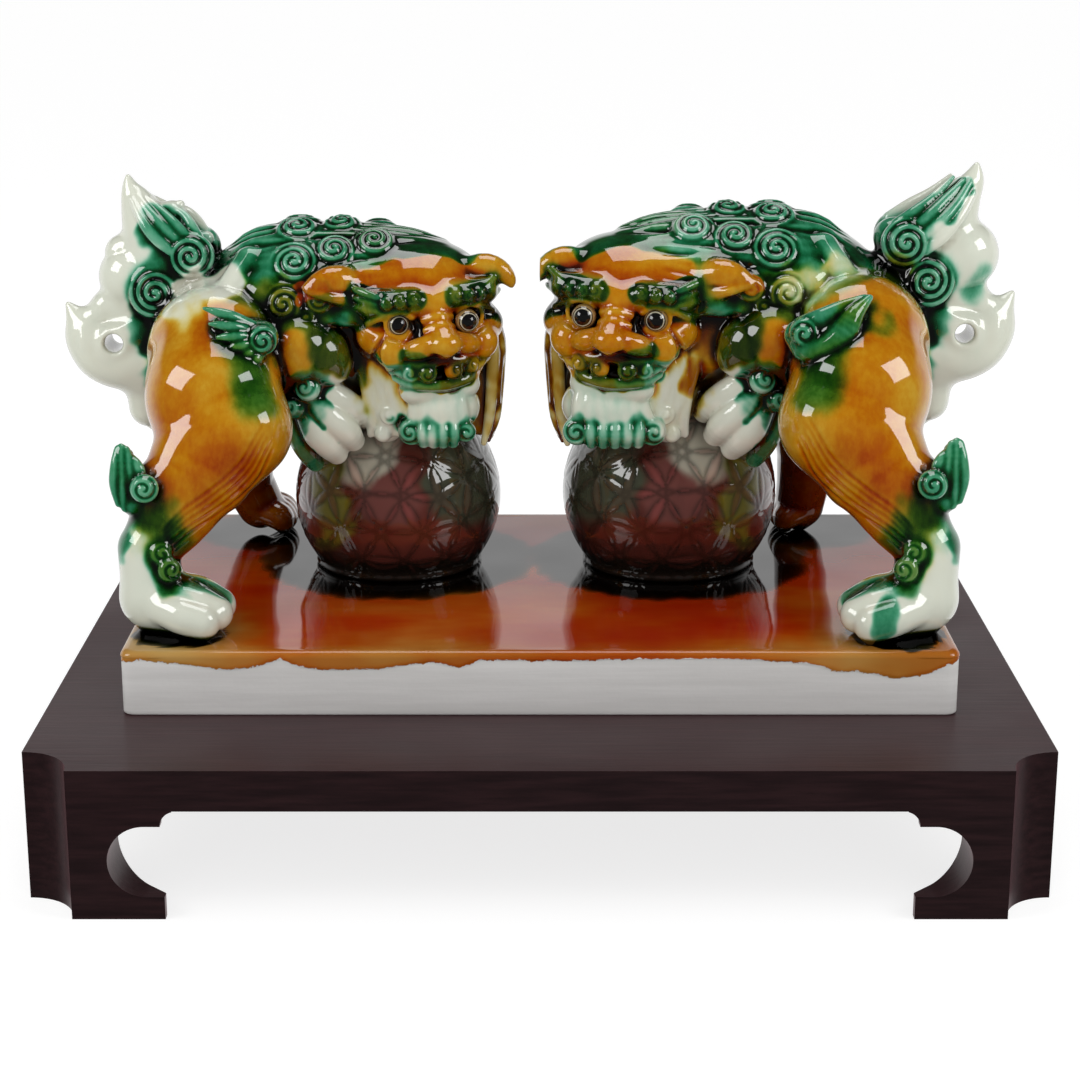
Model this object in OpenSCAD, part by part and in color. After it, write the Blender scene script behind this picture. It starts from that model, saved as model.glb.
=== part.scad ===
// Pair of glazed stoneware guardian lions on a slab, resting on a wooden stand.
// Units are millimetres, +Z is up, and the origin is the centre of the stand's footprint.
// The left lion is drawn in a frame whose z = 0 is the slab's top face. The right lion is
// the same set of moulds seen in a mirror and fired a little larger.

/* [Stand] */
// Length of the wooden stand along X
stand_l = 400; // [380:1:420]
// Depth of the wooden stand along Y
stand_w = 330; // [300:1:350]
// Thickness of the stand's top board
board_t = 16.5; // [14:0.5:20]
// Height of the bracket feet under the board
foot_h = 44.5; // [40:0.5:55]
// Radius of the cove cut into each corner of the stand
corner_cove_r = 20; // [12:1:24]

/* [Slab] */
// Length of the ceramic slab along X
slab_l = 337; // [330:1:360]
// Depth of the ceramic slab along Y
slab_w = 210; // [200:1:230]
// Height of the ceramic slab
slab_h = 27; // [22:0.5:32]
// Wall thickness of the ceramic slab, which is open below
slab_wall = 8; // [6:0.5:10]
// Radius of the slab's upright corners
slab_corner_r = 5; // [2:0.5:8]

/* [Lions] */
// Size of the right lion compared with the left one
right_scale = 1.04; // [1:0.01:1.05]
// Radius of the brocade ball under each forepaw
ball_r = 46; // [44:0.5:47]
// Height of the ball's centre above the slab
ball_rise = 31; // [28:0.5:34]
// Radius of each eye bead
eye_r = 5; // [4:0.25:5.5]
// Radius of the pierced hole inside the curl of the tail
tail_hole_r = 2.9; // [2:0.1:3.2]
// Radius of a sprigged curl on the mane
curl_r = 8; // [6:0.5:9]

/* [Hidden] */

stand_h = board_t + foot_h;
slab_top = stand_h + slab_h;
eps = 0.01;      // overshoot of a cutter past the face it cuts
seam = 0.15;     // slip joint between a sprigged piece and a round one
body_fn = 16;    // facets of the large modelled forms
fine_fn = 12;    // facets of the small modelled forms

// Bracket foot, measured from the stand's outer corner
foot_reach = 60;         // length of the bracket under the board
toe_reach = 56;          // length of the toe on the table
scroll_r = 14.5;         // radius of the scroll cut
scroll_x = 49;           // distance of the scroll's centre from the corner
scroll_z = 23.7;         // height of the scroll's centre
bracket_cove_r = 6.2;    // radius of the cove at the bracket's end
dowel_r = 4;
dowel_l = 24;            // half in the board, half in the foot
dowel_in = [30, 11];     // dowel centres from the corner, used both ways round
glue_gap = 0.1;

// Ribs of the slab
rib_t = 8;
rib_count = 2;

// The lions' forms. Each row is x, y, z and radius of a ball of clay, and each run of rows is
// joined by straight hulls. They are modelled by eye, in the left lion's frame. $right is
// true inside the right lion, whose head is turned further in and whose tail leans out.
$right = false;
tail_reach = 205;        // furthest point of either tail from the centre plane
head_turn = [5, 0, -2.5, 0];

torso_run = [[-134, 6, 106, 32], [-108, 10, 108, 33], [-80, 14, 104, 31]];
mane_run = [[-108, 14, 114, 38], [-86, 15, 115, 38], [-62, 13, 115, 36]];
mane_edge_z = 96;        // the mane's cape stops here
skull = [[-48, -2, 110, 29], [-42, -25, 99, 15], [-67, -12, 100, 15], [-29, -10, 100, 14], [-46, -18, 118, 15]];
muzzle_run = [[-55, -24, 95, 9.5], [-41, -34, 97, 10], [-28, -24, 95, 9.5]];
nose_run = [[-44, -26, 112, 7], [-41, -36, 107, 7]];
ruff_run = [[-76, -7, 104, 11], [-74, -8, 84, 11], [-69, -8, 68, 9]];
side_lock_run = [[-24, 8, 112, 9.5], [-23, 8, 88, 8], [-25, 7, 66, 6.5]];
left_beard_balls = [[-52, -14, 79, 8], [-34, -14, 79, 8], [-49, -15, 69, 7.5], [-34, -14, 69, 7.5]];
right_beard_balls = [[-56, -14, 76, 8], [-30, -14, 76, 8], [-52, -15, 69, 7.5], [-34, -14, 69, 7.5]];
near_ear_run = [[-78, -14, 132, 6], [-90, -24, 134, 6.5], [-98, -27, 132, 2.5]];
far_ear_run = [[-28, -2, 136, 6], [-20, -4, 138, 5], [-13, -6, 132, 2]];
eye_spots = [[-59.5, -26, 117.5], [-30.5, -26, 119]];
near_brow_run = [[-71, -23, 128, 4], [-64, -27, 127.5, 4.5], [-53, -31, 126, 4]];
far_brow_run = [[-37, -31, 127, 4], [-29, -27, 129, 4.5], [-21, -21, 128, 3.5]];
near_foreleg_run = [[-102, -14, 102, 19], [-97, -22, 89, 12.5], [-89, -9, 78, 13], [-85, -4, 68, 13.5], [-86, -1, 59, 9]];
far_foreleg_run = [[-80, 34, 92, 20], [-76, 62, 62, 13], [-74, 80, 28, 10], [-72, 86, 10, 11], [-60, 88, 9, 9]];
near_hip_balls = [[-136, -24, 104, 29], [-134, -44, 88, 27], [-126, -52, 72, 20]];
near_shin_run = [[-126, -52, 72, 20], [-151, -64, 46, 13.5], [-160, -70, 32, 13], [-157, -75, 13, 12], [-139, -82, 11.5, 11.5]];
near_hock_run = [[-151, -64, 46, 13.5], [-163, -69, 58, 9]];
near_hock_tuft_run = [[-160, -73, 57, 8], [-168, -71, 66, 7], [-169, -70, 74, 3.5]];
left_far_hip_balls = [[-128, 30, 98, 24], [-130, 48, 76, 18]];
right_far_hip_balls = [[-128, 30, 98, 24], [-126, 48, 72, 18]];
left_far_shin_run = [[-130, 48, 76, 18], [-136, 60, 46, 13], [-134, 70, 24, 12], [-122, 76, 10, 9.5]];
right_far_shin_run = [[-126, 48, 72, 18], [-127, 60, 44, 14], [-126, 68, 22, 12.5], [-120, 75, 10, 9.5]];
far_hock_run = [[-136, 60, 46, 13], [-146, 64, 56, 8]];
far_hock_tuft_run = [[-145, 66, 54, 7], [-151, 64, 63, 6], [-152, 63, 70, 3]];
hip_flame_run = [[-113, -36, 113, 8], [-125, -46, 117, 7], [-136, -50, 125, 3]];
left_plume_runs = [
    [[-152, 6, 120, 15], [-161, 8, 136, 15], [-165, 8, 150, 12], [-171, 8, 163, 7], [-174, 8, 173, 2.5]],
    [[-161, 8, 136, 15], [-148, 7, 147, 7], [-139, 6, 147, 3]],
    [[-165, 8, 150, 12], [-155, 8, 158, 6.5]],
    [[-162, 8, 128, 15], [-175, 8, 131, 14.5]]
];
right_plume_runs = [
    [[-154, 6, 120, 14], [-166, 8, 136, 15], [-176, 8, 150, 12], [-181, 8, 160, 7], [-185, 8, 171.5, 2.5]],
    [[-166, 8, 136, 15], [-155, 7, 143, 8.5]],
    [[-168, 8, 128, 15], [-183, 8, 135, 14.5]]
];
tail_wave_runs = [
    [[-152, 6, 120, 14], [-160, 8, 98, 13], [-178, 8, 95, 13], [-190, 8, 99, 13], [-193, 8, 110, 10], [-184, 8, 119, 10]],
    [[-190, 8, 99, 13], [-197, 8, 107, 7], [-tail_reach + 2, 8, 119, 2]],
    [[-160, 8, 98, 13], [-169, 12, 80, 10.5], [-170, 12, 68, 6], [-170, 12, 62, 2]]
];
tail_hole_at = [-182, 104.5];
left_tail_curl_spots = [[-147, 0, 142, 9.5], [-163, 0, 127, 12]];
right_tail_curl_spots = [[-156, 0, 142, 9.5], [-165, 0, 127, 11]];
mane_axis = [14.5, 114.5];   // y and z of the dome that the mane's curls sit on
curl_bed_r = 36;             // distance of a curl's centre from that axis
curl_spots = [[-103, 14], [-86, 8], [-103, 46], [-87, 38], [-70, 30], [-108, 74]];  // x, and degrees from the top
ball_at = [-63.4, 27, ball_rise];

// ---------- helpers ----------

// One ball of clay
module clay(b, fn = body_fn) {
    translate([b[0], b[1], b[2]]) sphere(r = b[3], $fn = fn);
}

// Balls of clay joined in a chain
module run(balls, fn = body_fn) {
    for (i = [0 : len(balls) - 2])
        hull() {
            clay(balls[i], fn);
            clay(balls[i + 1], fn);
        }
}

// Balls of clay drawn into one lump
module lump(balls, fn = body_fn) {
    hull() for (b = balls) clay(b, fn);
}

// Everything above the slab
module above_slab() {
    translate([-300, -200, 0]) cube([400, 400, 300]);
}

// Cutter for whatever is luted against the ball
module ball_bed() {
    translate(ball_at) sphere(r = ball_r + seam + 0.2, $fn = 40);
}

// Moves the parts of the head with it
function on_head(balls) = [for (b = balls) $right ? b + head_turn : b];

// Puts a piece of the left lion on the slab
module left_lion() {
    $right = false;
    translate([0, 0, slab_top]) children();
}

// Mirrors and enlarges a piece for the right lion, keeping both tails the same distance out
module right_lion() {
    $right = true;
    translate([-(right_scale - 1) * tail_reach, 0, slab_top])
        scale(right_scale) mirror([1, 0, 0]) children();
}

// ---------- wooden stand ----------

module corner_coves(h) {
    for (sx = [-1, 1], sy = [-1, 1])
        translate([sx * stand_l / 2, sy * stand_w / 2, -eps])
            cylinder(r = corner_cove_r, h = h + 2 * eps, $fn = 64);
}

module dowel_places() {
    for (sx = [-1, 1], sy = [-1, 1])
        for (p = [dowel_in, [dowel_in[1], dowel_in[0]]])
            translate([sx * (stand_l / 2 - p[0]), sy * (stand_w / 2 - p[1]), foot_h - dowel_l / 2])
                children();
}

module stand_board() {
    color("#2e161a")
        difference() {
            translate([-stand_l / 2, -stand_w / 2, foot_h]) cube([stand_l, stand_w, board_t]);
            translate([0, 0, foot_h]) corner_coves(board_t);
            dowel_places() cylinder(r = dowel_r + glue_gap, h = dowel_l, $fn = 32);
        }
}

// Slot with one round end, cut through a bracket along Y
module scroll_cut() {
    translate([scroll_x, -eps, scroll_z]) rotate([-90, 0, 0])
        cylinder(r = scroll_r, h = foot_reach + 2 * eps, $fn = 64);
    translate([scroll_x, -eps, scroll_z - scroll_r])
        cube([foot_reach, foot_reach + 2 * eps, 2 * scroll_r]);
    translate([toe_reach, -eps, -eps])
        cube([foot_reach, foot_reach + 2 * eps, scroll_z]);
    translate([foot_reach + 1.5, -eps, scroll_z + scroll_r]) rotate([-90, 0, 0])
        cylinder(r = bracket_cove_r, h = foot_reach + 2 * eps, $fn = 32);
}

// Bracket foot with its outer corner at the origin, reaching along +X and +Y
module foot() {
    color("#2a1418")
        difference() {
            cube([foot_reach, foot_reach, foot_h]);
            translate([0, 0, -eps]) cylinder(r = corner_cove_r, h = foot_h + 2 * eps, $fn = 64);
            scroll_cut();
            mirror([1, -1, 0]) scroll_cut();
            translate([0, 0, -eps])
                linear_extrude(height = foot_h + 2 * eps)
                    polygon([[foot_reach, 0], [foot_reach + 1, foot_reach + 1], [0, foot_reach]]);
            for (p = [dowel_in, [dowel_in[1], dowel_in[0]]])
                translate([p[0], p[1], foot_h - dowel_l / 2])
                    cylinder(r = dowel_r + glue_gap, h = dowel_l, $fn = 32);
        }
}

module foot_at(sx, sy) {
    translate([sx * stand_l / 2, sy * stand_w / 2, 0])
        mirror([sx > 0 ? 1 : 0, 0, 0])
            mirror([0, sy > 0 ? 1 : 0, 0])
                foot();
}

module foot_dowels() {
    color("#c9a878") dowel_places() cylinder(r = dowel_r, h = dowel_l - 0.5, $fn = 32);
}

// ---------- ceramic slab ----------

module slab_block(l, w, h, r) {
    linear_extrude(height = h)
        union() {
            square([l - 2 * r, w], center = true);
            square([l, w - 2 * r], center = true);
            for (sx = [-1, 1], sy = [-1, 1])
                translate([sx * (l / 2 - r), sy * (w / 2 - r)]) circle(r = r, $fn = 48);
        }
}

// One hollow between the ribs
module slab_cells() {
    cell_l = (slab_l - 2 * slab_wall - rib_count * rib_t) / (rib_count + 1);
    for (i = [0 : rib_count])
        translate([-slab_l / 2 + slab_wall + i * (cell_l + rib_t), -slab_w / 2 + slab_wall, -eps])
            cube([cell_l, slab_w - 2 * slab_wall, slab_h - slab_wall]);
}

module slab() {
    color("#d8d6d2")
        translate([0, 0, stand_h])
            difference() {
                slab_block(slab_l, slab_w, slab_h, slab_corner_r);
                slab_cells();
            }
}

// ---------- lion forms, before the joints between them are cut ----------

module torso_form() { run(torso_run); }

module head_form() {
    lump(on_head(skull));
    run(on_head(muzzle_run), fine_fn);
    run(on_head(nose_run), fine_fn);
}

module eye_sockets() {
    for (e = eye_spots) translate($right ? e + [head_turn[0], head_turn[1], head_turn[2]] : e) children();
}

module mane_form() {
    intersection() {
        run(mane_run);
        translate([-200, -100, mane_edge_z]) cube([200, 200, 100]);
    }
}

module ruff_form() { run(on_head(ruff_run), fine_fn); }

module near_foreleg_form() { run(near_foreleg_run, fine_fn); }

module near_hind_form() {
    lump(near_hip_balls);
    run(near_shin_run, fine_fn);
    run(near_hock_run, fine_fn);
}

module far_hind_form() {
    lump($right ? right_far_hip_balls : left_far_hip_balls, fine_fn);
    run($right ? right_far_shin_run : left_far_shin_run, fine_fn);
    run(far_hock_run, fine_fn);
}

module tail_form() {
    for (r = $right ? right_plume_runs : left_plume_runs) run(r, fine_fn);
    for (r = tail_wave_runs) run(r, fine_fn);
}

// ---------- lion pieces ----------

module torso() {
    color("#b5701c")
        difference() {
            torso_form();
            ball_bed();
        }
}

module head() {
    color("#b8741c")
        difference() {
            head_form();
            torso_form();
            eye_sockets() sphere(r = eye_r + 2 * seam, $fn = 24);
        }
}

module mane() {
    color("#1f6b45")
        difference() {
            mane_form();
            torso_form();
            head_form();
        }
}

module chest_ruff() {
    color("#cfc8b4")
        difference() {
            ruff_form();
            torso_form();
            head_form();
            mane_form();
            ball_bed();
        }
}

module side_locks() {
    color("#7a4a28")
        difference() {
            run(on_head(side_lock_run), fine_fn);
            torso_form();
            head_form();
            mane_form();
            ball_bed();
        }
}

module beard() {
    color("#d6d8c8")
        difference() {
            lump(on_head($right ? right_beard_balls : left_beard_balls), fine_fn);
            torso_form();
            head_form();
            ruff_form();
            ball_bed();
        }
}

module near_ear() {
    color("#c07a1e")
        difference() {
            run(on_head(near_ear_run), fine_fn);
            head_form();
            mane_form();
        }
}

module far_ear() {
    color("#c07a1e")
        difference() {
            run(on_head(far_ear_run), fine_fn);
            head_form();
            mane_form();
        }
}

module eye(i) {
    p = on_head([[eye_spots[i][0], eye_spots[i][1], eye_spots[i][2], eye_r]])[0];
    color("#0c0c0c") translate([p[0], p[1], p[2]]) sphere(r = eye_r, $fn = 32);
}

module brow(balls) {
    color("#2f6a3c")
        difference() {
            run(on_head(balls), fine_fn);
            head_form();
            mane_form();
            eye_sockets() sphere(r = eye_r + 2 * seam, $fn = 24);
        }
}

module near_foreleg() {
    color("#a8742a")
        difference() {
            near_foreleg_form();
            torso_form();
            mane_form();
            ruff_form();
            ball_bed();
        }
}

module far_foreleg() {
    color("#a8742a")
        difference() {
            intersection() {
                run(far_foreleg_run, fine_fn);
                above_slab();
            }
            torso_form();
            mane_form();
            ball_bed();
        }
}

module near_hind_leg() {
    color("#bd7a1c")
        difference() {
            intersection() {
                near_hind_form();
                above_slab();
            }
            torso_form();
            mane_form();
            near_foreleg_form();
        }
}

module far_hind_leg() {
    color("#5a2c18")
        difference() {
            intersection() {
                far_hind_form();
                above_slab();
            }
            torso_form();
            mane_form();
        }
}

module near_hock_tuft() {
    color("#1f6b45")
        difference() {
            run(near_hock_tuft_run, fine_fn);
            near_hind_form();
        }
}

module far_hock_tuft() {
    color("#1f6b45")
        difference() {
            run(far_hock_tuft_run, fine_fn);
            far_hind_form();
        }
}

module hip_flame() {
    color("#1f7a4c")
        difference() {
            run(hip_flame_run, fine_fn);
            torso_form();
            near_hind_form();
            near_foreleg_form();
            mane_form();
        }
}

module tail() {
    color("#dcdccf")
        difference() {
            tail_form();
            torso_form();
            mane_form();
            near_hind_form();
            far_hind_form();
            translate([tail_hole_at[0], -30, tail_hole_at[1]]) rotate([-90, 0, 0])
                cylinder(r = tail_hole_r, h = 80, $fn = 24);
        }
}

module tail_curls() {
    color("#2b7a55")
        difference() {
            for (c = $right ? right_tail_curl_spots : left_tail_curl_spots) clay(c, body_fn);
            tail_form();
            torso_form();
            near_hind_form();
        }
}

// The curls lie on the dome of the mane, the same on both sides of the spine
module mane_curl_places() {
    for (side = [-1, 1], c = curl_spots) {
        a = side * c[1];
        translate([c[0], mane_axis[0] + curl_bed_r * sin(a), mane_axis[1] + curl_bed_r * cos(a)])
            children();
    }
}

module mane_curls() {
    color("#185c3a")
        difference() {
            mane_curl_places() sphere(r = curl_r, $fn = fine_fn);
            mane_form();
            torso_form();
            head_form();
            near_foreleg_form();
            near_hind_form();
            run(on_head(near_ear_run), fine_fn);
            run(hip_flame_run, fine_fn);
        }
}

module ball() {
    color("#6b3030")
        intersection() {
            translate(ball_at) sphere(r = ball_r, $fn = 64);
            above_slab();
        }
}

// One piece of a lion by name
module piece(name) {
    if (name == "torso") torso();
    if (name == "head") head();
    if (name == "mane") mane();
    if (name == "chest_ruff") chest_ruff();
    if (name == "side_locks") side_locks();
    if (name == "beard") beard();
    if (name == "near_ear") near_ear();
    if (name == "far_ear") far_ear();
    if (name == "near_eye") eye(0);
    if (name == "far_eye") eye(1);
    if (name == "near_brow") brow(near_brow_run);
    if (name == "far_brow") brow(far_brow_run);
    if (name == "near_foreleg") near_foreleg();
    if (name == "far_foreleg") far_foreleg();
    if (name == "near_hind_leg") near_hind_leg();
    if (name == "far_hind_leg") far_hind_leg();
    if (name == "near_hock_tuft") near_hock_tuft();
    if (name == "far_hock_tuft") far_hock_tuft();
    if (name == "hip_flame") hip_flame();
    if (name == "tail") tail();
    if (name == "tail_curls") tail_curls();
    if (name == "mane_curls") mane_curls();
    if (name == "ball") ball();
}

LION_PIECES = [
    "torso", "head", "mane", "chest_ruff", "side_locks", "beard", "near_ear", "far_ear", "near_eye", "far_eye",
    "near_brow", "far_brow", "near_foreleg", "far_foreleg", "near_hind_leg", "far_hind_leg", "near_hock_tuft",
    "far_hock_tuft", "hip_flame", "tail", "tail_curls", "mane_curls", "ball"
];

stand_board();
foot_at(-1, -1);  // foot_front_left
foot_at(1, -1);  // foot_front_right
foot_at(-1, 1);  // foot_back_left
foot_at(1, 1);  // foot_back_right
foot_dowels();
slab();
for (p = LION_PIECES) left_lion() piece(p);
for (p = LION_PIECES) right_lion() piece(p);
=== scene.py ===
"""Looks of the pair of glazed guardian lions on their slab and wooden stand.

The lions are sculpted as fields of clay: each part is a signed distance field in millimetres, the
parts are luted together with soft joints, and every part is then cut out as a closed mesh of its own.
"""
import math

import bmesh
import bpy
import numpy as np
import openvdb
from mathutils import Matrix, Vector


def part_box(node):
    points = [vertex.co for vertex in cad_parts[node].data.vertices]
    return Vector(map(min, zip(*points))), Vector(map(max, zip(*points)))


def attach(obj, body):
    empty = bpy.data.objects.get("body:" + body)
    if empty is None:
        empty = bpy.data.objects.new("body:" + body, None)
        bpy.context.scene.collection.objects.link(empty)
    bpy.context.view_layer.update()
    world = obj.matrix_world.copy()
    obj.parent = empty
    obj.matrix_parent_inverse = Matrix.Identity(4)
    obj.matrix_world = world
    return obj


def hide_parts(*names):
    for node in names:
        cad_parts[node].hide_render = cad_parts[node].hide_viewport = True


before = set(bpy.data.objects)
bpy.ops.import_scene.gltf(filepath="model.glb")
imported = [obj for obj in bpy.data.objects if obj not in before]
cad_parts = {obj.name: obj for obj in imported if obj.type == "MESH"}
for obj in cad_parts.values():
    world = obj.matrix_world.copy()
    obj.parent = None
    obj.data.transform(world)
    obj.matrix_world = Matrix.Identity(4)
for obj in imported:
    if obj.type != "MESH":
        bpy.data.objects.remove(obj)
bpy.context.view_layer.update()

MM = 0.001
PITCH = 0.625     # lattice spacing of the clay, mm
FAR = 30.0                          # distance stored where no clay is near
CLAMP = 3.0                         # distance kept when a field is turned into a mesh
ROOM_LO = (-206, -100, -1.5)        # the space that one lion takes, mm
ROOM_HI = (-8, 104, 178)

SLAB_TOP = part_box("slab")[1].z / MM

CAMERA_AT = (0, -1.0124, 0.3948)
CAMERA_DOWN = 16                    # degrees


# ---------------------------------------------------------------- vectors

def vec(p):
    return np.array(p, float)


def unit(p):
    p = vec(p)
    return p / np.linalg.norm(p)


def spline(points, count):
    """Points along a Catmull-Rom curve through the given ones. Extra columns, such as a radius, follow."""
    pts = vec(points)
    pts = np.vstack([2 * pts[0] - pts[1], pts, 2 * pts[-1] - pts[-2]])
    out = []
    for t in np.linspace(0, len(pts) - 3 - 1e-9, count):
        i = int(t)
        s = t - i
        a, b, c, d = pts[i:i + 4]
        out.append(0.5 * (2 * b + (c - a) * s + (2 * a - 5 * b + 4 * c - d) * s * s
                          + (3 * b - 3 * c + d - a) * s ** 3))
    return np.array(out)


# ---------------------------------------------------------------- clay

class Lattice:
    """A regular lattice of sample points, in the lion's own millimetres."""

    def __init__(self, lo, hi, pitch):
        self.lo = vec(lo)
        self.pitch = pitch
        self.shape = tuple(int(math.ceil((b - a) / pitch)) + 1 for a, b in zip(lo, hi))
        self.axes = []
        for i in range(3):
            line = (self.lo[i] + pitch * np.arange(self.shape[i])).astype(np.float32)
            self.axes.append(line.reshape([-1 if j == i else 1 for j in range(3)]))

    def window(self, lo, hi):
        out = []
        for i in range(3):
            a = int(math.floor((lo[i] - self.lo[i]) / self.pitch))
            b = int(math.ceil((hi[i] - self.lo[i]) / self.pitch)) + 1
            a = min(max(a, 0), self.shape[i] - 1)
            b = min(max(b, a + 1), self.shape[i])
            out.append(slice(a, b))
        return tuple(out)

    def grid(self, win):
        return (self.axes[0][win[0]], self.axes[1][:, win[1]], self.axes[2][:, :, win[2]])

    def sample(self, field, points, step=1):
        """The field at points in millimetres, by trilinear interpolation."""
        q = (points - self.lo) / (self.pitch * step)
        top = np.array(field.shape) - 1.001
        q = np.clip(q, 0, top)
        i = q.astype(int)
        t = (q - i).astype(np.float32)
        out = np.zeros(len(points), np.float32)
        for dx in (0, 1):
            wx = t[:, 0] if dx else 1 - t[:, 0]
            for dy in (0, 1):
                wy = t[:, 1] if dy else 1 - t[:, 1]
                for dz in (0, 1):
                    wz = t[:, 2] if dz else 1 - t[:, 2]
                    out += wx * wy * wz * field[i[:, 0] + dx, i[:, 1] + dy, i[:, 2] + dz]
        return out


def soft_min(a, b, k):
    """The smaller of two distances, rounded over the width k where they meet."""
    if k <= 0:
        return np.minimum(a, b)
    h = np.maximum(k - np.abs(a - b), 0)
    return np.minimum(a, b) - h * h * (0.25 / k)


def soft_max(a, b, k):
    return -soft_min(-a, -b, k)


class Clay:
    """One part's clay, as a distance field on the lion's lattice."""

    def __init__(self, lattice):
        self.lattice = lattice
        self.field = np.full(lattice.shape, FAR, np.float32)
        self.lo = np.array([1e9] * 3)
        self.hi = np.array([-1e9] * 3)

    def window(self, lo, hi, k):
        pad = max(k, 6.0) + 2 * self.lattice.pitch
        lo = vec(lo) - pad
        hi = vec(hi) + pad
        self.lo = np.minimum(self.lo, lo)
        self.hi = np.maximum(self.hi, hi)
        return self.lattice.window(lo, hi)

    def put(self, win, d, k):
        self.field[win] = soft_min(self.field[win], d, k)

    def take(self, win, d, k):
        self.field[win] = soft_max(self.field[win], -d, k)

    # --- distances of the basic forms

    def rods(self, balls, k):
        """Distance from a chain of tapered rods through balls of (x, y, z, radius)."""
        balls = vec(balls)
        r = balls[:, 3].max()
        win = self.window((balls[:, :3] - r).min(0), (balls[:, :3] + r).max(0), k)
        shape = tuple(s.stop - s.start for s in win)
        out = np.full(shape, FAR, np.float32)
        pad = max(k, 6.0) + 2 * self.lattice.pitch
        pairs = zip(balls[:-1], balls[1:]) if len(balls) > 1 else [(balls[0], balls[0])]
        for a, b in pairs:
            r = max(a[3], b[3]) + pad
            sub = self.lattice.window(np.minimum(a, b)[:3] - r, np.maximum(a, b)[:3] + r)
            rel = tuple(slice(s.start - w.start, s.stop - w.start) for s, w in zip(sub, win))
            rel = tuple(slice(max(s.start, 0), min(s.stop, n)) for s, n in zip(rel, shape))
            sub = tuple(slice(s.start + w.start, s.stop + w.start) for s, w in zip(rel, win))
            x, y, z = self.lattice.grid(sub)
            x, y, z = x - np.float32(a[0]), y - np.float32(a[1]), z - np.float32(a[2])
            ab = (b - a)[:3].astype(np.float32)
            length = float(ab @ ab)
            if length < 1e-6:
                d = np.sqrt(x * x + y * y + z * z) - np.float32(a[3])
            else:
                t = np.clip((x * ab[0] + y * ab[1] + z * ab[2]) / np.float32(length), 0, 1)
                x, y, z = x - t * ab[0], y - t * ab[1], z - t * ab[2]
                d = np.sqrt(x * x + y * y + z * z) - (np.float32(a[3]) + t * np.float32(b[3] - a[3]))
            out[rel] = np.minimum(out[rel], d)
        return win, out

    def ellipsoid(self, at, radii, axes, k):
        axes = vec(axes if axes is not None else np.eye(3)).astype(np.float32)
        reach = np.sqrt(((axes * vec(radii)[:, None]) ** 2).sum(0))
        win = self.window(vec(at) - reach, vec(at) + reach, k)
        x, y, z = self.lattice.grid(win)
        x, y, z = x - np.float32(at[0]), y - np.float32(at[1]), z - np.float32(at[2])
        near = 0
        far = 0
        for axis, r in zip(axes, radii):
            c = x * axis[0] + y * axis[1] + z * axis[2]
            near = near + (c / np.float32(r)) ** 2
            far = far + (c / np.float32(r * r)) ** 2
        near = np.sqrt(near)
        return win, near * (near - 1) / np.maximum(np.sqrt(far), 1e-4)

    # --- adding and taking away

    def chain(self, balls, k=2.0):
        self.put(*self.rods(balls, k), k)

    def ball(self, at, r, k=2.0):
        self.chain([[*at, r]], k)

    def blob(self, at, radii, axes=None, k=2.0):
        self.put(*self.ellipsoid(at, radii, axes, k), k)

    def lock(self, balls, k=1.0, count=10):
        """A strand of hair along a smooth curve through balls of (x, y, z, radius)."""
        self.put(*self.rods(spline(balls, count), k), k)

    def groove(self, balls, k=1.0, count=10):
        self.take(*self.rods(spline(balls, count), k), k)

    def scoop(self, at, radii, axes=None, k=2.0):
        self.take(*self.ellipsoid(at, radii, axes, k), k)

    def engrave(self, points, towards, r, k=0.8, count=14):
        """A groove along a curve laid on the surface, which is met looking towards the given way."""
        steps = np.arange(-30, 30, 0.4)[:, None] * unit(towards)
        rows = []
        for point in spline(points, count):
            hit = np.flatnonzero(self.lattice.sample(self.field, point + steps) < 0)
            if len(hit):
                rows.append([*(point + steps[hit[0]]), r])
        if len(rows) > 2:
            rows[0][3] = rows[-1][3] = 0.1
            self.take(*self.rods(rows, k), k)

    def curl(self, at, facing, r, rise, pitch=3.4, depth=1.3, turn=1, start=0.0, k=1.0, up=(0, 0, 1)):
        """A round snail of hair: a dome with a spiral groove, facing outwards."""
        n = unit(facing)
        upright = vec(up) if abs(n @ unit(up)) < 0.95 else vec((1, 0, 0))
        u = unit(np.cross(upright, n))
        v = np.cross(n, u)
        win, d = self.ellipsoid(at, (r, r, rise), (u, v, n), k)
        x, y, z = self.lattice.grid(win)
        x, y, z = x - np.float32(at[0]), y - np.float32(at[1]), z - np.float32(at[2])
        a = x * np.float32(u[0]) + y * np.float32(u[1]) + z * np.float32(u[2])
        b = x * np.float32(v[0]) + y * np.float32(v[1]) + z * np.float32(v[2])
        rho = np.sqrt(a * a + b * b)
        around = np.arctan2(b, a) / np.float32(2 * math.pi)
        phase = rho / np.float32(pitch) - np.float32(turn) * around + start
        valley = (0.5 - 0.5 * np.cos(2 * math.pi * phase)) ** 1.6
        fade = np.clip((r * 1.02 - rho) / (0.8 * pitch), 0, 1) * np.clip(rho / (0.45 * pitch), 0, 1)
        self.put(win, (d + np.float32(depth) * valley * fade).astype(np.float32), k)


def open_block(clay):
    """The window of the lattice that the clay has touched."""
    return clay.lattice.window(clay.lo, clay.hi)


# ---------------------------------------------------------------- the lions

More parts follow.
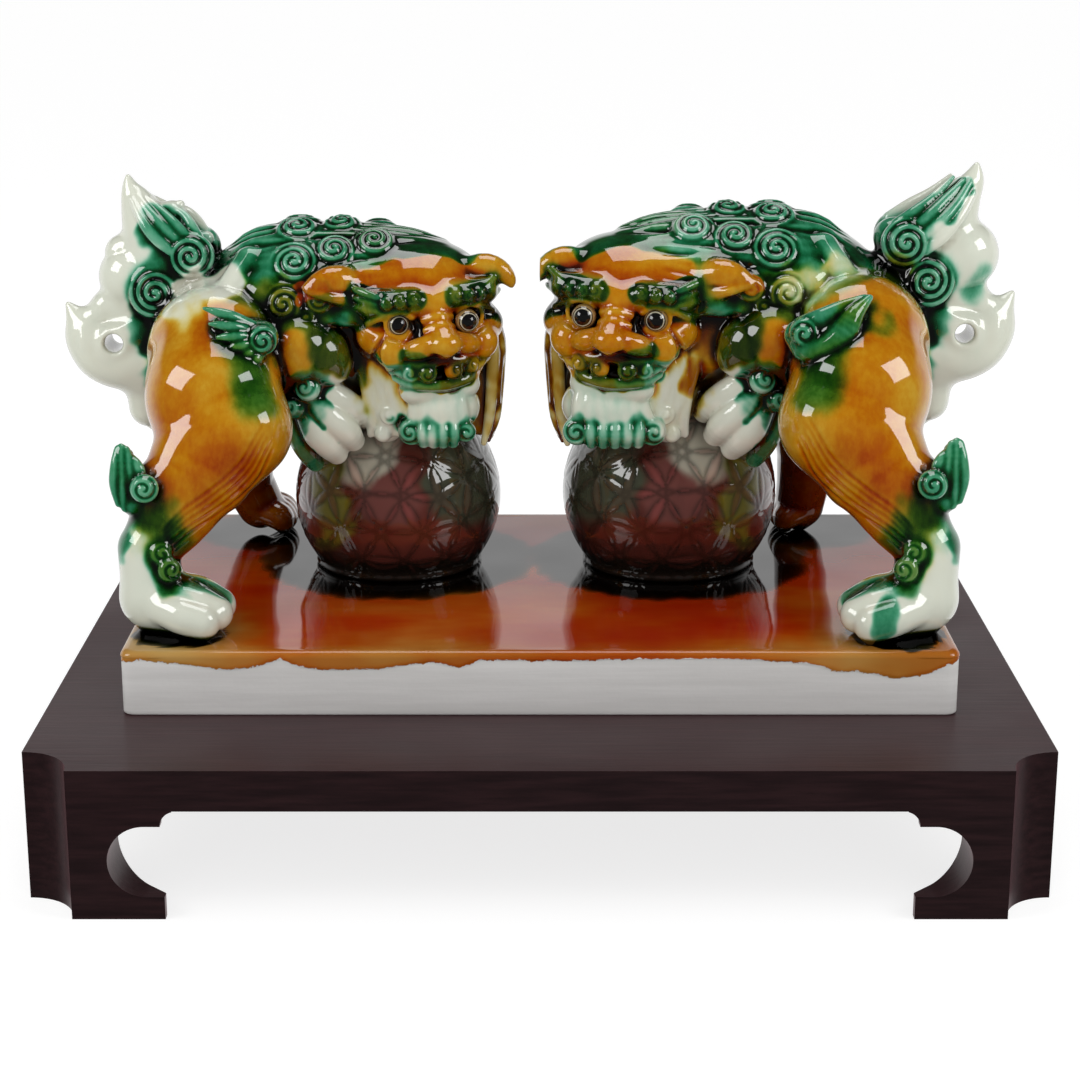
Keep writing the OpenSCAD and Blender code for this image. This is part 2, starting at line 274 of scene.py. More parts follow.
class Lion:
    """One lion: its side, its lattice, the frame of its face, and where it stands."""

    def __init__(self, side):
        self.side = side
        self.right = side == "right"
        lo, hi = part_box(side + "_ball")
        left_lo, left_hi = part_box("left_ball")
        self.scale = (hi.x - lo.x) / (left_hi.x - left_lo.x)
        self.ball_r = (left_hi.x - left_lo.x) / 2 / MM
        self.ball_at = vec(((left_lo.x + left_hi.x) / 2 / MM, (left_lo.y + left_hi.y) / 2 / MM,
                            left_hi.z / MM - self.ball_r - SLAB_TOP))
        self.offset = (lo.x + hi.x) / 2 / MM + (self.scale * self.ball_at[0] if self.right else 0)
        # the lattice holds a left lion that faces us: the right one is its mirror image
        self.lattice = Lattice(ROOM_LO, ROOM_HI, PITCH)
        self.turn = vec((5, 0, -2.5)) if self.right else vec((0, 0, 0))
        yaw = math.radians(11 if self.right else 17)
        roll = math.radians(3.4)
        self.out = vec((math.sin(yaw), -math.cos(yaw), 0))
        across = vec((math.cos(yaw), math.sin(yaw), 0))
        self.across = unit(across * math.cos(roll) + vec((0, 0, 1)) * math.sin(roll))
        self.up = np.cross(self.out, self.across)
        self.face_at = vec((-44.7, -21.5, 118.8)) + self.turn
        self.axes = (self.across, self.out, self.up)

    def face(self, a, b, c):
        """A point of the face: a to the viewer's right, b outwards and c up from between the eyes."""
        return self.face_at + a * self.across + b * self.out + c * self.up

    def on_face(self, rows):
        return [[*self.face(a, b, c), r] for a, b, c, r in rows]

    def turned(self, x, y, z):
        """A point that goes with the head as it turns."""
        return vec((x, y, z)) + self.turn

    def with_head(self, rows):
        return [[*(vec(row[:3]) + self.turn), row[3]] for row in rows]

    def world(self, points):
        """Points in the lion's millimetres, in the frame's metres."""
        out = np.array(points, float) * self.scale
        if self.right:
            out[:, 0] = self.offset - out[:, 0]
        out[:, 2] += SLAB_TOP
        return out * MM


def on_dome(x, degrees, r, axis=(14.5, 114.5)):
    """A point on the mane's dome, at an angle from the top towards the near side."""
    a = math.radians(degrees)
    return vec((x, axis[0] - r * math.sin(a), axis[1] + r * math.cos(a)))


def sculpt_torso(lion):
    """The trunk, from the rump to below the mane."""
    clay = Clay(lion.lattice)
    clay.chain([[-134, 6, 106, 32], [-108, 10, 108, 33], [-80, 14, 104, 31]])
    clay.chain([[-140, 4, 100, 26], [-128, 8, 92, 26]], 8)
    return clay


def sculpt_mane(lion):
    """A cap of combed hair from the rump to the brow, with lobes over both flanks."""
    clay = Clay(lion.lattice)
    clay.chain([[-110, 14, 114, 36.5], [-86, 15, 115, 36.5], [-60, 13, 114, 34.5]])
    clay.chain([[-110, 14, 114, 34], [-126, 12, 112, 28]], 12)
    # combed strands run from the rump over the crest and die out on the brow
    for i, degrees in enumerate(range(-64, 70, 7)):
        wave = 3 * math.sin(i * 2.3)
        rows = []
        course = ((-134, -3.2, 0, 1.2), (-122, 0.2, 1, 2.6), (-106, 1.3, 0, 2.6), (-88, 1.3, -1, 2.6),
                  (-70, 1.0, 0, 2.5), (-54, -1.0, 1, 2.2), (-42, -4.6, 0.5, 1.4))
        for x, lift, turn, thick in course:
            r = 35.5 + lift - max(0, -x - 118) * 0.28
            narrow = 1 - 0.004 * max(0, x + 80)
            rows.append([*on_dome(x, degrees * narrow + wave * turn, r), thick])
        clay.lock(rows, 1.2, 18)
    # lobes hang over the flank
    for side in (-1, 1):
        for x0, deg, r in ((-129, 62, 6.5), (-117, 68, 7.5), (-104, 82, 6.5), (-91, 84, 6), (-79, 78, 6)):
            a = on_dome(x0 + 6, side * (deg - 24), 34)
            b = on_dome(x0, side * deg, 34)
            c = on_dome(x0 - 5, side * (deg + 10), 33)
            clay.lock([[*a, r - 1], [*b, r], [*c, r * 0.5]], 3.5, 10)
    win = open_block(clay)
    z = lion.lattice.grid(win)[2]
    clay.field[win] = soft_max(clay.field[win], np.float32(115.0) - z, 4)
    return clay


def sculpt_mane_curls(lion):
    """Snails of hair in rows over the mane, and two small ones behind the cheek."""
    clay = Clay(lion.lattice)
    spots = [(-103, 13, 10.5), (-85, 5, 9.2), (-103, 47, 11.5), (-86.5, 37, 9.5), (-70, 29, 9.5),
             (-107, 74, 9.8)]
    for side in (1, -1):
        for i, (x, degrees, r) in enumerate(spots):
            at = on_dome(x, side * degrees, 36.8)
            facing = at - vec((x, 14.5, 114.5)) + vec((0, -6 if side > 0 else 6, 0))
            turn = 1 if (i % 2 == 0) == (side > 0) else -1
            clay.curl(at, facing, r, 6.0, pitch=3.3, depth=1.45, turn=turn, start=0.2 * i, k=1.5)
    for x, y, z, r in ((-92.5, -22.5, 127, 6.0), (-97, -23, 119.5, 4.6)):
        clay.curl((x, y, z), (0, -1, 0.2), r, 4.2, pitch=2.6, depth=1.0, k=1)
    return clay


def sculpt_head(lion):
    """The head without its ears, brows and beard. Its measures are in the frame of the face."""
    clay = Clay(lion.lattice)
    face = lion.face
    ax = lion.axes
    clay.blob(face(1, -24, 3), (30, 26, 22), ax, 2)
    clay.blob(face(1, -21, -13), (27.5, 24, 20), ax, 8)
    clay.blob(face(0, -28, 12), (27, 26, 17), ax, 8)
    clay.blob(face(0.5, -5, -15), (20, 13.5, 11), ax, 7)
    # brow ridge and temples
    ridge = [[-24, -5, 8, 6], [-9, 1.5, 8.5, 5.5], [0, 2, 7, 4.5], [9, 1.5, 9, 5.5], [23, -3, 9, 6]]
    clay.chain(lion.on_face(ridge), 5)
    # cheeks
    for a in (-18.5, 19.5):
        clay.ball(face(a, 0.2, -11.5), 7.9, 5)
        clay.ball(face(a * 1.28, -9, -6), 7.5, 6)
    # sockets
    for a in (-15.3, 15.3):
        clay.scoop(face(a, 4.2, -0.4), (6.8, 5.5, 5.8), ax, 2)
    # bridge of the nose, with its folds
    clay.chain(lion.on_face([[0, 0, 6, 4.5], [0.5, 4, 0, 5.5], [1, 8, -6, 6.8]]), 4)
    for c, b, half, r in ((5.6, 5.2, 4.2, 2.1), (2.2, 7.6, 5.4, 2.3), (-1.6, 10.2, 5.4, 2.3)):
        fold = [[-half, b - 2.4, c - 1.2, r * 0.7], [0.5, b, c, r], [half + 0.8, b - 2.4, c - 1.0, r * 0.7]]
        clay.lock(lion.on_face(fold), 0.8, 8)
    # nose, and the broad rolls of its wings
    clay.blob(face(1.2, 13, -8.4), (7.4, 6.8, 5.8), ax, 2)
    for s in (-1, 1):
        wing = [[1.2 + s * 6, 10.6, -8.6, 4.6], [1.2 + s * 11, 8.4, -10, 4.4],
                [1.2 + s * 15.5, 3.6, -11.8, 3.2], [1.2 + s * 18.5, -1.5, -12.6, 1.8]]
        clay.lock(lion.on_face(wing), 1.3, 12)
        clay.scoop(face(1.2 + s * 5.0, 15.0, -13.6), (3.0, 3.6, 2.2), ax, 1.2)
        fold = [[1.2 + s * 9.5, 3.5, -0.5, 0.3], [1.2 + s * 14, 4.5, -5.5, 1.0],
                [1.2 + s * 19, 0.5, -8, 1.0], [1.2 + s * 23, -6, -12, 0.3]]
        clay.groove(lion.on_face(fold), 1.6, 12)
    # upper lip
    lip = [[-16, 3, -16.2, 2.4], [-8, 8, -17.2, 2.4], [1, 9.6, -15.8, 2.2], [9, 8, -17, 2.4],
           [16, 3, -16, 2.4]]
    clay.lock(lion.on_face(lip), 1.6, 14)
    # mouth, covered at its sides by whisker curls
    clay.scoop(face(2.5, 9, -21.0), (4.4, 5, 1.5), ax, 1.5)
    for s in (-1, 1):
        for a, b, c, r in ((5.6 - 1.6 * s, 10.4, -20.6, 4.2), (12.6 - 0.6 * s, 7.0, -20.2, 4.5),
                           (19.4, 0.6, -18.0, 4.2)):
            towards = lion.out + lion.across * (0.04 * s * a)
            clay.curl(face(1 + s * a, b - 1.6, c), towards, r, 4.0, pitch=2.4, depth=1.1, turn=-s,
                      start=0.5, k=0.7, up=lion.up)
        leaf = [[1 + s * 13, 5.5, -22, 1.4], [1 + s * 18, 2.4, -19.6, 2.2], [1 + s * 23, -4, -14.4, 1.0]]
        clay.lock(lion.on_face(leaf), 0.6, 10)
    # lower lip
    lip = [[-18, -1, -23.2, 1.6], [-11, 6.2, -25.4, 2.1], [1, 9.0, -26.6, 2.3], [12, 6.2, -25.2, 2.1],
           [19, -1, -22.8, 1.6]]
    clay.lock(lion.on_face(lip), 1.0, 16)
    clay.chain(lion.on_face([[-10, -1, -29, 6.6], [1, 1, -30, 6.6], [12, -1, -29, 6.6]]), 3)
    # rim of each eye, and its lids
    for a in (-15.3, 15.3):
        ring = []
        for t in np.linspace(0, 2 * math.pi, 17):
            ring.append([*face(a + 5.7 * math.cos(t), 2.4 - 0.9 * math.cos(t) ** 2, 5.2 * math.sin(t)),
                         1.05])
        clay.put(*clay.rods(ring, 0.7), 0.7)
        s = math.copysign(1, a)
        upper = [[a - s * 6, 2.6, 1.8, 1.3], [a - s * 1, 4.0, 5.9, 1.9], [a + s * 6, 1.2, 4.0, 1.9],
                 [a + s * 12, -4, 0.4, 1.2]]
        clay.lock(lion.on_face(upper), 0.8, 12)
        under = [[a - s * 6, 2.2, -2.6, 1.1], [a, 3.6, -6.4, 1.4], [a + s * 6.5, 0.8, -5.4, 1.4],
                 [a + s * 12.5, -4.6, -2.6, 0.9]]
        clay.lock(lion.on_face(under), 0.9, 12)
    # combed hair down the near cheek
    for i in range(7):
        a = -21.5 - 1.2 * i
        clay.engrave([face(a + 2, -2, -3.0 - 1.5 * i), face(a, -4, -11 - i),
                      face(a + 2.5, -6, -19 - 0.4 * i), face(a + 5.5, -8, -26)],
                     -lion.out + 0.5 * lion.across, 0.8)
    return clay


def sculpt_brow(lion, s):
    """A brow: small curls near the nose and leaves of hair at the temple. s is -1 for the near one."""
    clay = Clay(lion.lattice)
    clay.lock(lion.on_face([[s * 8, 2.6, 10.0, 2.4], [s * 16, 1.4, 10.6, 2.9], [s * 24, -3.4, 10.8, 2.8],
                            [s * 30, -9, 11.6, 1.6]]), 1.5, 12)
    for a, b, c, r in ((9.2, 5.0, 10.0, 3.3), (14.6, 4.8, 9.6, 3.2), (19.6, 3.0, 9.3, 3.1)):
        facing = lion.out + 0.12 * s * lion.across + 0.2 * lion.up
        clay.curl(lion.face(s * a, b, c), facing, r, 3.3, pitch=2.0, depth=1.0, turn=s, start=0.4, k=0.5,
                  up=lion.up)
    for i in range(3):
        c = 13.6 - 2.9 * i
        leaf = [[s * 21, 1.8, c - 3.0, 0.9], [s * 25.5, -0.8, c - 0.8, 1.8],
                [s * 30.2, -6.4, c + 1.2 - 0.6 * i, 1.6], [s * 33.0, -11.8, c + 2.4 - 1.2 * i, 0.5]]
        clay.lock(lion.on_face(leaf), 0.4, 10)
    return clay


def sculpt_near_ear(lion):
    """The ear over the flank, which points backwards."""
    clay = Clay(lion.lattice)
    rows = [[-76, -14, 131, 6.5], [-84, -19, 134.6, 6.6], [-90.6, -22.5, 134.8, 5.0],
            [-97.6, -24.5, 132.6, 1.7]]
    clay.lock(lion.with_head(rows), 3, 12)
    rows = [[-96.4, -26, 131.4, 1.5], [-89, -27, 129.6, 2.2], [-82, -22, 127.6, 2.6], [-76, -17, 127, 2]]
    clay.lock(lion.with_head(rows), 1.6, 12)
    clay.chain(lion.with_head([[-78, -16, 129.5, 5.5], [-86, -22, 131.8, 4.6], [-92, -24.6, 132.2, 3.0]]),
               2)
    rows = [[-94, -28.8, 132.6, 0.3], [-89, -29.3, 131.9, 0.8], [-83, -26, 130.8, 0.8],
            [-79, -22, 130, 0.3]]
    clay.groove(lion.with_head(rows), 1.0, 12)
    return clay


def sculpt_far_ear(lion):
    """The ear on the far side, which droops."""
    clay = Clay(lion.lattice)
    rows = [[-30, -3, 136, 6.4], [-23, -5, 138, 6.0], [-17, -6, 136.6, 4.8], [-13, -6.5, 133, 3.0],
            [-12, -6.5, 130.2, 1.2]]
    clay.lock(lion.with_head(rows), 3, 12)
    rows = [[-28, -10.5, 133.4, 0.4], [-23, -11.6, 133.8, 1.1], [-18, -11.2, 132.4, 1.1],
            [-14.5, -9.5, 130.5, 0.4]]
    clay.groove(lion.with_head(rows), 1.0, 10)
    return clay


def sculpt_beard(lion):
    """A beard of fat locks whose ends bulge and curl."""
    clay = Clay(lion.lattice)
    wide = 5.5 if lion.right else 0.0
    left, right = -55.5 - 0.4 * wide, -30.5 + wide
    low = 69.5 if lion.right else 70.5
    sway = lion.turn * 0.6
    clay.blob(vec(((left + right) / 2, -13.5, 80)) + lion.turn, (17.5 + 0.4 * wide, 12.5, 13.5), None, 2)
    count = 7 if lion.right else 6
    for i in range(count):
        t = i / (count - 1)
        x = left + 2 + (right - left - 4) * t
        bow = 4 * (1 - (2 * t - 1) ** 2)
        top_x = -43 + (x + 43) * 0.78
        clay.lock([[*(vec((top_x, -20 - 0.5 * bow, 91)) + lion.turn), 2.4],
                   [*(vec((top_x * 0.4 + x * 0.6, -23 - 0.7 * bow, 82)) + lion.turn), 2.6],
                   [*(vec((x, -22 - 0.7 * bow, low + 3)) + sway), 2.8]], 2.4, 12)
        # the ends bulge like a row of beads
        if 0 < i < count - 1:
            clay.lock([[*(vec((x, -23.2 - 0.7 * bow, low + 5)) + sway), 2.0],
                       [*(vec((x, -24.2 - 0.7 * bow, low)) + sway), 2.9],
                       [*(vec((x, -21.5 - 0.7 * bow, low - 4.6)) + sway), 2.3]], 0.6, 10)
    for x, turn in ((left + 1.0, -1), (right - 1.0, 1)):
        clay.curl(vec((x, -22, low + 0.3)) + sway, (0.15 * turn, -1, 0.05),
                  6.0 if turn < 0 or lion.right else 4.6, 5.2,
                  pitch=3.0, depth=1.4, turn=turn, start=0.3, k=0.8)
    return clay


def sculpt_chest_ruff(lion):
    """Wavy locks on the chest, between the near foreleg and the beard."""
    clay = Clay(lion.lattice)
    clay.chain(lion.with_head([[-72, -4, 104, 9], [-70, -5, 86, 9], [-66, -5, 70, 8]]), 3)
    for i in range(6):
        x = -75.5 + 3.0 * i
        y = -13.5 - 0.9 * i
        sway = 1.6 * math.sin(1.9 * i)
        clay.lock(lion.with_head([[x + 2, y + 1, 108 - 2.2 * i, 2.0], [x + sway, y, 98 - i, 3.0],
                                  [x + 2.5 - sway, y - 0.6, 86, 3.1],
                                  [x + 4 + sway, y + 0.5, 75, 2.9], [x + 3, y + 2.4, 67 + 0.3 * i, 1.8]]),
                  0.5, 14)
    clay.curl(vec((-63.5, -17.5, 77)) + lion.turn, (-0.1, -1, 0), 4.6, 4.2, pitch=2.8, depth=1.1, turn=-1,
              k=0.9)
    clay.curl(vec((-67, -15.5, 68)) + lion.turn, (-0.2, -1, 0), 3.8, 3.6, pitch=2.6, depth=1.0, turn=1,
              k=0.9)
    return clay


def side_strand(lion, i):
    """One of the long strands that hang from the far cheek."""
    y = -3.5 + 3.2 * i
    x = -18.5 - 0.45 * (i - 2.5) ** 2
    sway = 1.6 * math.sin(2.3 * i)
    return lion.with_head([[x - 2, y, 117, 1.8], [x + 1.2, y + sway, 104, 2.8],
                           [x + 0.6, y - sway, 88, 2.6],
                           [x - 0.5, y + sway, 73, 2.4], [x - 3, y, 61 + 0.8 * i, 1.4]])


def sculpt_side_locks(lion):
    """Long strands that hang from the far cheek."""
    clay = Clay(lion.lattice)
    clay.chain(lion.with_head([[-25, 8, 112, 8.6], [-24, 8, 88, 7.2], [-26, 7, 68, 5.8]]), 3)
    for i in range(6):
        clay.lock(side_strand(lion, i), 0.8, 14)
    return clay


def sculpt_near_foreleg(lion):
    """The arm and the paw that holds the ball."""
    clay = Clay(lion.lattice)
    # upper arm, a fat roll that ends in a blunt point under the cheek
    clay.chain([[-113, -16, 106, 15.5], [-101, -20, 106, 15.5], [-93, -20, 103.5, 13]], 3)
    clay.chain([[-93, -20, 102.5, 12.5], [-87, -20.5, 98.5, 7.5], [-84.5, -20.5, 96.5, 4.5]], 3)
    clay.chain([[-104, -14, 94, 13], [-98, -16, 86, 11], [-94, -11, 76, 10.5]], 5)
    clay.chain([[-94, -10, 78, 10.5], [-90, -5, 66, 10.5]], 4)
    # plump toes over the ball
    toes = [[[-93.5, -20, 90, 4.8], [-86, -19, 84.5, 6.2], [-79.5, -13.5, 78, 6.3], [-75.8, -7, 73, 4.8]],
            [[-95.5, -22, 84, 5.0], [-89, -22.5, 77, 6.6], [-83, -19.5, 70.5, 6.5], [-79.8, -14, 65, 5.0]],
            [[-99, -21.5, 79, 5.0], [-94.5, -22.5, 71, 6.5], [-90.2, -20, 65, 6.3], [-87, -15, 59.5, 5.0]],
            [[-104.5, -17, 76, 4.6], [-102, -17.5, 67, 5.2], [-99, -15, 60, 5.0], [-96.5, -11, 54, 3.8]]]
    for toe in toes:
        clay.lock(toe, 0.9, 14)
    for x, y, z, r, turn in ((-97.5, -27, 90.5, 5.6, 1), (-103.8, -24.5, 82, 5.2, -1)):
        clay.curl((x, y, z), (-0.3, -1, 0.3), r, 5.2, pitch=2.8, depth=1.3, turn=turn, start=0.1, k=1.0)
    return clay


def sculpt_far_foreleg(lion):
    """The leg behind the ball, which stands on the slab."""
    clay = Clay(lion.lattice)
    clay.chain([[-84, 34, 92, 19], [-78, 58, 66, 14], [-76, 76, 34, 10.5], [-74, 84, 14, 10.5]], 4)
    clay.chain([[-106, 34, 92, 17], [-90, 40, 88, 16]], 8)
    clay.chain([[-80, 66, 56, 8], [-88, 70, 58, 4.5], [-94, 71, 62, 1.5]], 3)
    for dy, reach in ((-7.5, 8), (-2, 11), (4, 10), (9, 6)):
        clay.lock([[-74, 84 + dy * 0.7, 12, 5.2], [-67, 84 + dy, 9.5, 5.4],
                   [-63 + reach * 0.4, 84.5 + dy * 1.1, 6, 4.4]], 1.2, 10)
    return clay


def sculpt_near_hind_leg(lion):
    """The big thigh, its shank and its foot."""
    clay = Clay(lion.lattice)
    clay.chain([[-136, -20, 104, 29], [-133, -40, 91, 26], [-127, -50, 77, 21.5]], 3)
    clay.chain([[-127, -50, 77, 21.5], [-136, -57, 62, 18.5], [-150, -64, 47, 14.5]], 6)
    clay.chain([[-150, -64, 47, 14.5], [-160, -70, 33, 12.6], [-158.5, -74, 15, 12.6]], 7)
    clay.chain([[-152, -65, 50, 12], [-163, -69, 58, 8.5]], 5)
    clay.chain([[-137, -46, 88, 18], [-141.5, -54, 75, 16.2], [-148.5, -62, 62, 13.5]], 6)
    # muscles of the thigh
    clay.blob((-118, -50, 80), (15, 20, 17), None, 7)
    clay.blob((-146, -40, 90), (17, 20, 22), None, 8)
    # combed hair along the lower edge of the thigh
    for i in range(5):
        o = 2.3 * i
        clay.engrave([(-152, -80, 34 + o), (-142 - 0.3 * o, -80, 42 + o), (-130 - 0.5 * o, -78, 49 + o),
                      (-117 - 0.5 * o, -74, 60 + o),
                      (-108 - 0.4 * o, -66, 75 + o)], (0.12, 1, 0), 0.55, count=20)
    # foot with four blunt toes
    clay.chain([[-158, -75, 13, 12.6], [-145, -80, 11.5, 12]], 5)
    toes = [[[-152, -85, 12, 7.4], [-144, -90, 10.4, 7.6], [-136, -91, 8.2, 7.2]],
            [[-152, -82, 15, 7.0], [-141, -84, 14.4, 7.6], [-131.6, -85, 10.0, 7.2]],
            [[-152, -76, 17, 7.0], [-141, -75, 15.6, 7.6], [-131.6, -75, 10.4, 7.2]],
            [[-154, -70, 16, 6.0], [-143, -67, 12, 6.8], [-136, -66, 8.6, 6.2]]]
    for toe in toes:
        clay.lock(toe, 1.7, 12)
    clay.curl((-149.5, -83.8, 28.0), (0.5, -1, 0.2), 5.0, 3.6, pitch=2.6, depth=1.1, k=2.0)
    clay.curl((-153.0, -81.5, 34), (0.3, -1, 0.2), 4.4, 3.0, pitch=2.4, depth=0.9, turn=-1, k=2.0)
    return clay


def sculpt_far_hind_leg(lion):
    """The hind leg behind, which differs a little between the two lions."""
    clay = Clay(lion.lattice)
    if lion.right:
        clay.chain([[-128, 30, 98, 26], [-127, 46, 76, 20], [-127, 58, 48, 14.5]], 4)
        clay.chain([[-127, 58, 48, 14.5], [-126, 68, 24, 12], [-125, 73, 12, 11]], 4)
        foot = -120.0
    else:
        clay.chain([[-130, 30, 98, 26], [-130, 46, 78, 20], [-137, 58, 50, 14]], 4)
        clay.chain([[-137, 58, 50, 14], [-136, 68, 26, 12], [-131, 73, 13, 11]], 4)
        foot = -122.0
    for dy in (-9, -3, 3, 9):
        clay.lock([[foot - 8, 75 + dy * 0.8, 12, 6.2], [foot, 75.5 + dy, 9, 6.4],
                   [foot + 4 - abs(dy) * 0.2, 76 + dy * 1.1, 6.4, 5.0]], 1.2, 10)
    return clay


def vane(clay, roots, tips, thick, k=0.5, sag=(0, -2.5, 0.8)):
    """Barbs of hair side by side, each from its root to its tip."""
    for root, tip in zip(roots, tips):
        root, tip = vec(root), vec(tip)
        mid = (root + tip) / 2 + vec(sag)
        clay.lock([[*root, thick * 0.9], [*mid, thick], [*tip, thick * 0.35]], k, 10)


def between(a, b, count):
    """Evenly spaced points from a to b."""
    return [vec(a) + (vec(b) - vec(a)) * i / (count - 1) for i in range(count)]


def sculpt_hock_tuft(lion, near):
    """A vane of hair that stands up behind the hock, with a curl below."""
    clay = Clay(lion.lattice)
    if near:
        clay.chain([[-164, -71, 54, 7], [-167.5, -70.5, 65, 6], [-167.5, -70.5, 72, 3.4]], 2)
        for x, wide, low in ((-170.6, -0.8, 53), (-168.2, 0.2, 51), (-165.0, 0.6, 52), (-162.0, 1.2, 57)):
            clay.lock([[x, -75, low, 1.4], [x + wide, -76.8, low + 9, 2.3],
                       [x * 0.85 - 25.2 + wide * 0.6, -76.4, 70, 2.2],
                       [-167.2 + 0.62 * (x + 166), -73.5, 76.6 - 0.12 * (x + 168) ** 2, 1.6]], 0.4, 12)
        clay.curl((-158.8, -81.5, 61.4), (0.1, -1, 0.15), 6.0, 5.0, pitch=2.9, depth=1.3, k=0.8)
    else:
        dx = 0.0 if not lion.right else 4.0
        clay.chain([[-146 + dx, 68, 54, 7], [-152 + dx, 68, 63, 5], [-154 + dx, 68, 69, 2.5]], 2)
        roots = between((-146 + dx, 73, 60), (-151 + dx, 73, 50), 4)
        tips = between((-150 + dx, 71, 72.5), (-158.5 + dx, 70, 61), 4)
        vane(clay, roots, tips, 2.5, 0.6, (-0.5, 1.2, 0))
        clay.curl((-145.5 + dx, 76.5, 58), (0.1, 1, 0.15), 5.2, 4.2, pitch=2.8, depth=1.1, k=0.8)
    return clay


def sculpt_hip_flame(lion):
    """Hair that streams back over the hip: a comma on the right lion, a wing on the left one."""
    clay = Clay(lion.lattice)
    if lion.right:
        # one fat comma of hair round its boss
        clay.lock([[-110, -42, 112, 6.0], [-114, -47, 107.5, 6.4], [-121, -50, 109, 6.2],
                   [-127, -50.5, 115.5, 5.4], [-131, -49, 122, 3.6], [-137, -45, 127.5, 1.4]], 1.0, 20)
        clay.lock([[-111, -44, 116, 4.0], [-118, -47, 120, 3.6], [-126, -46, 124, 2.6],
                   [-135, -44, 127.6, 1.2]], 0.8, 16)
        clay.chain([[-113, -43, 113.5, 5.0], [-121, -46.5, 115.5, 4.8], [-128, -46.5, 120, 3.6]], 2)
        clay.curl((-111.5, -47.5, 113.8), (0.15, -1, 0.1), 6.0, 5.6, pitch=3.2, depth=1.4, turn=-1, k=0.9)
        return clay
    clay.chain([[-115, -36, 114, 7], [-124, -43, 117, 6], [-131, -46, 121.5, 3]], 2)
    roots = between((-117.5, -44, 120.5), (-114.5, -46, 108.5), 6)
    tips = [(-137, -48, 128.4), (-134.6, -50.5, 122.4), (-131.6, -51.5, 117), (-128.2, -51.5, 112),
            (-124.4, -50.5, 107.6), (-119, -48.5, 104.4)]
    vane(clay, roots, tips, 2.55, 0.45, (0.3, -2.6, 1.0))
    clay.curl((-113.6, -46.8, 114.8), (0.15, -1, 0.1), 6.3, 5.6, pitch=3.0, depth=1.5, turn=-1, k=0.7)
    return clay


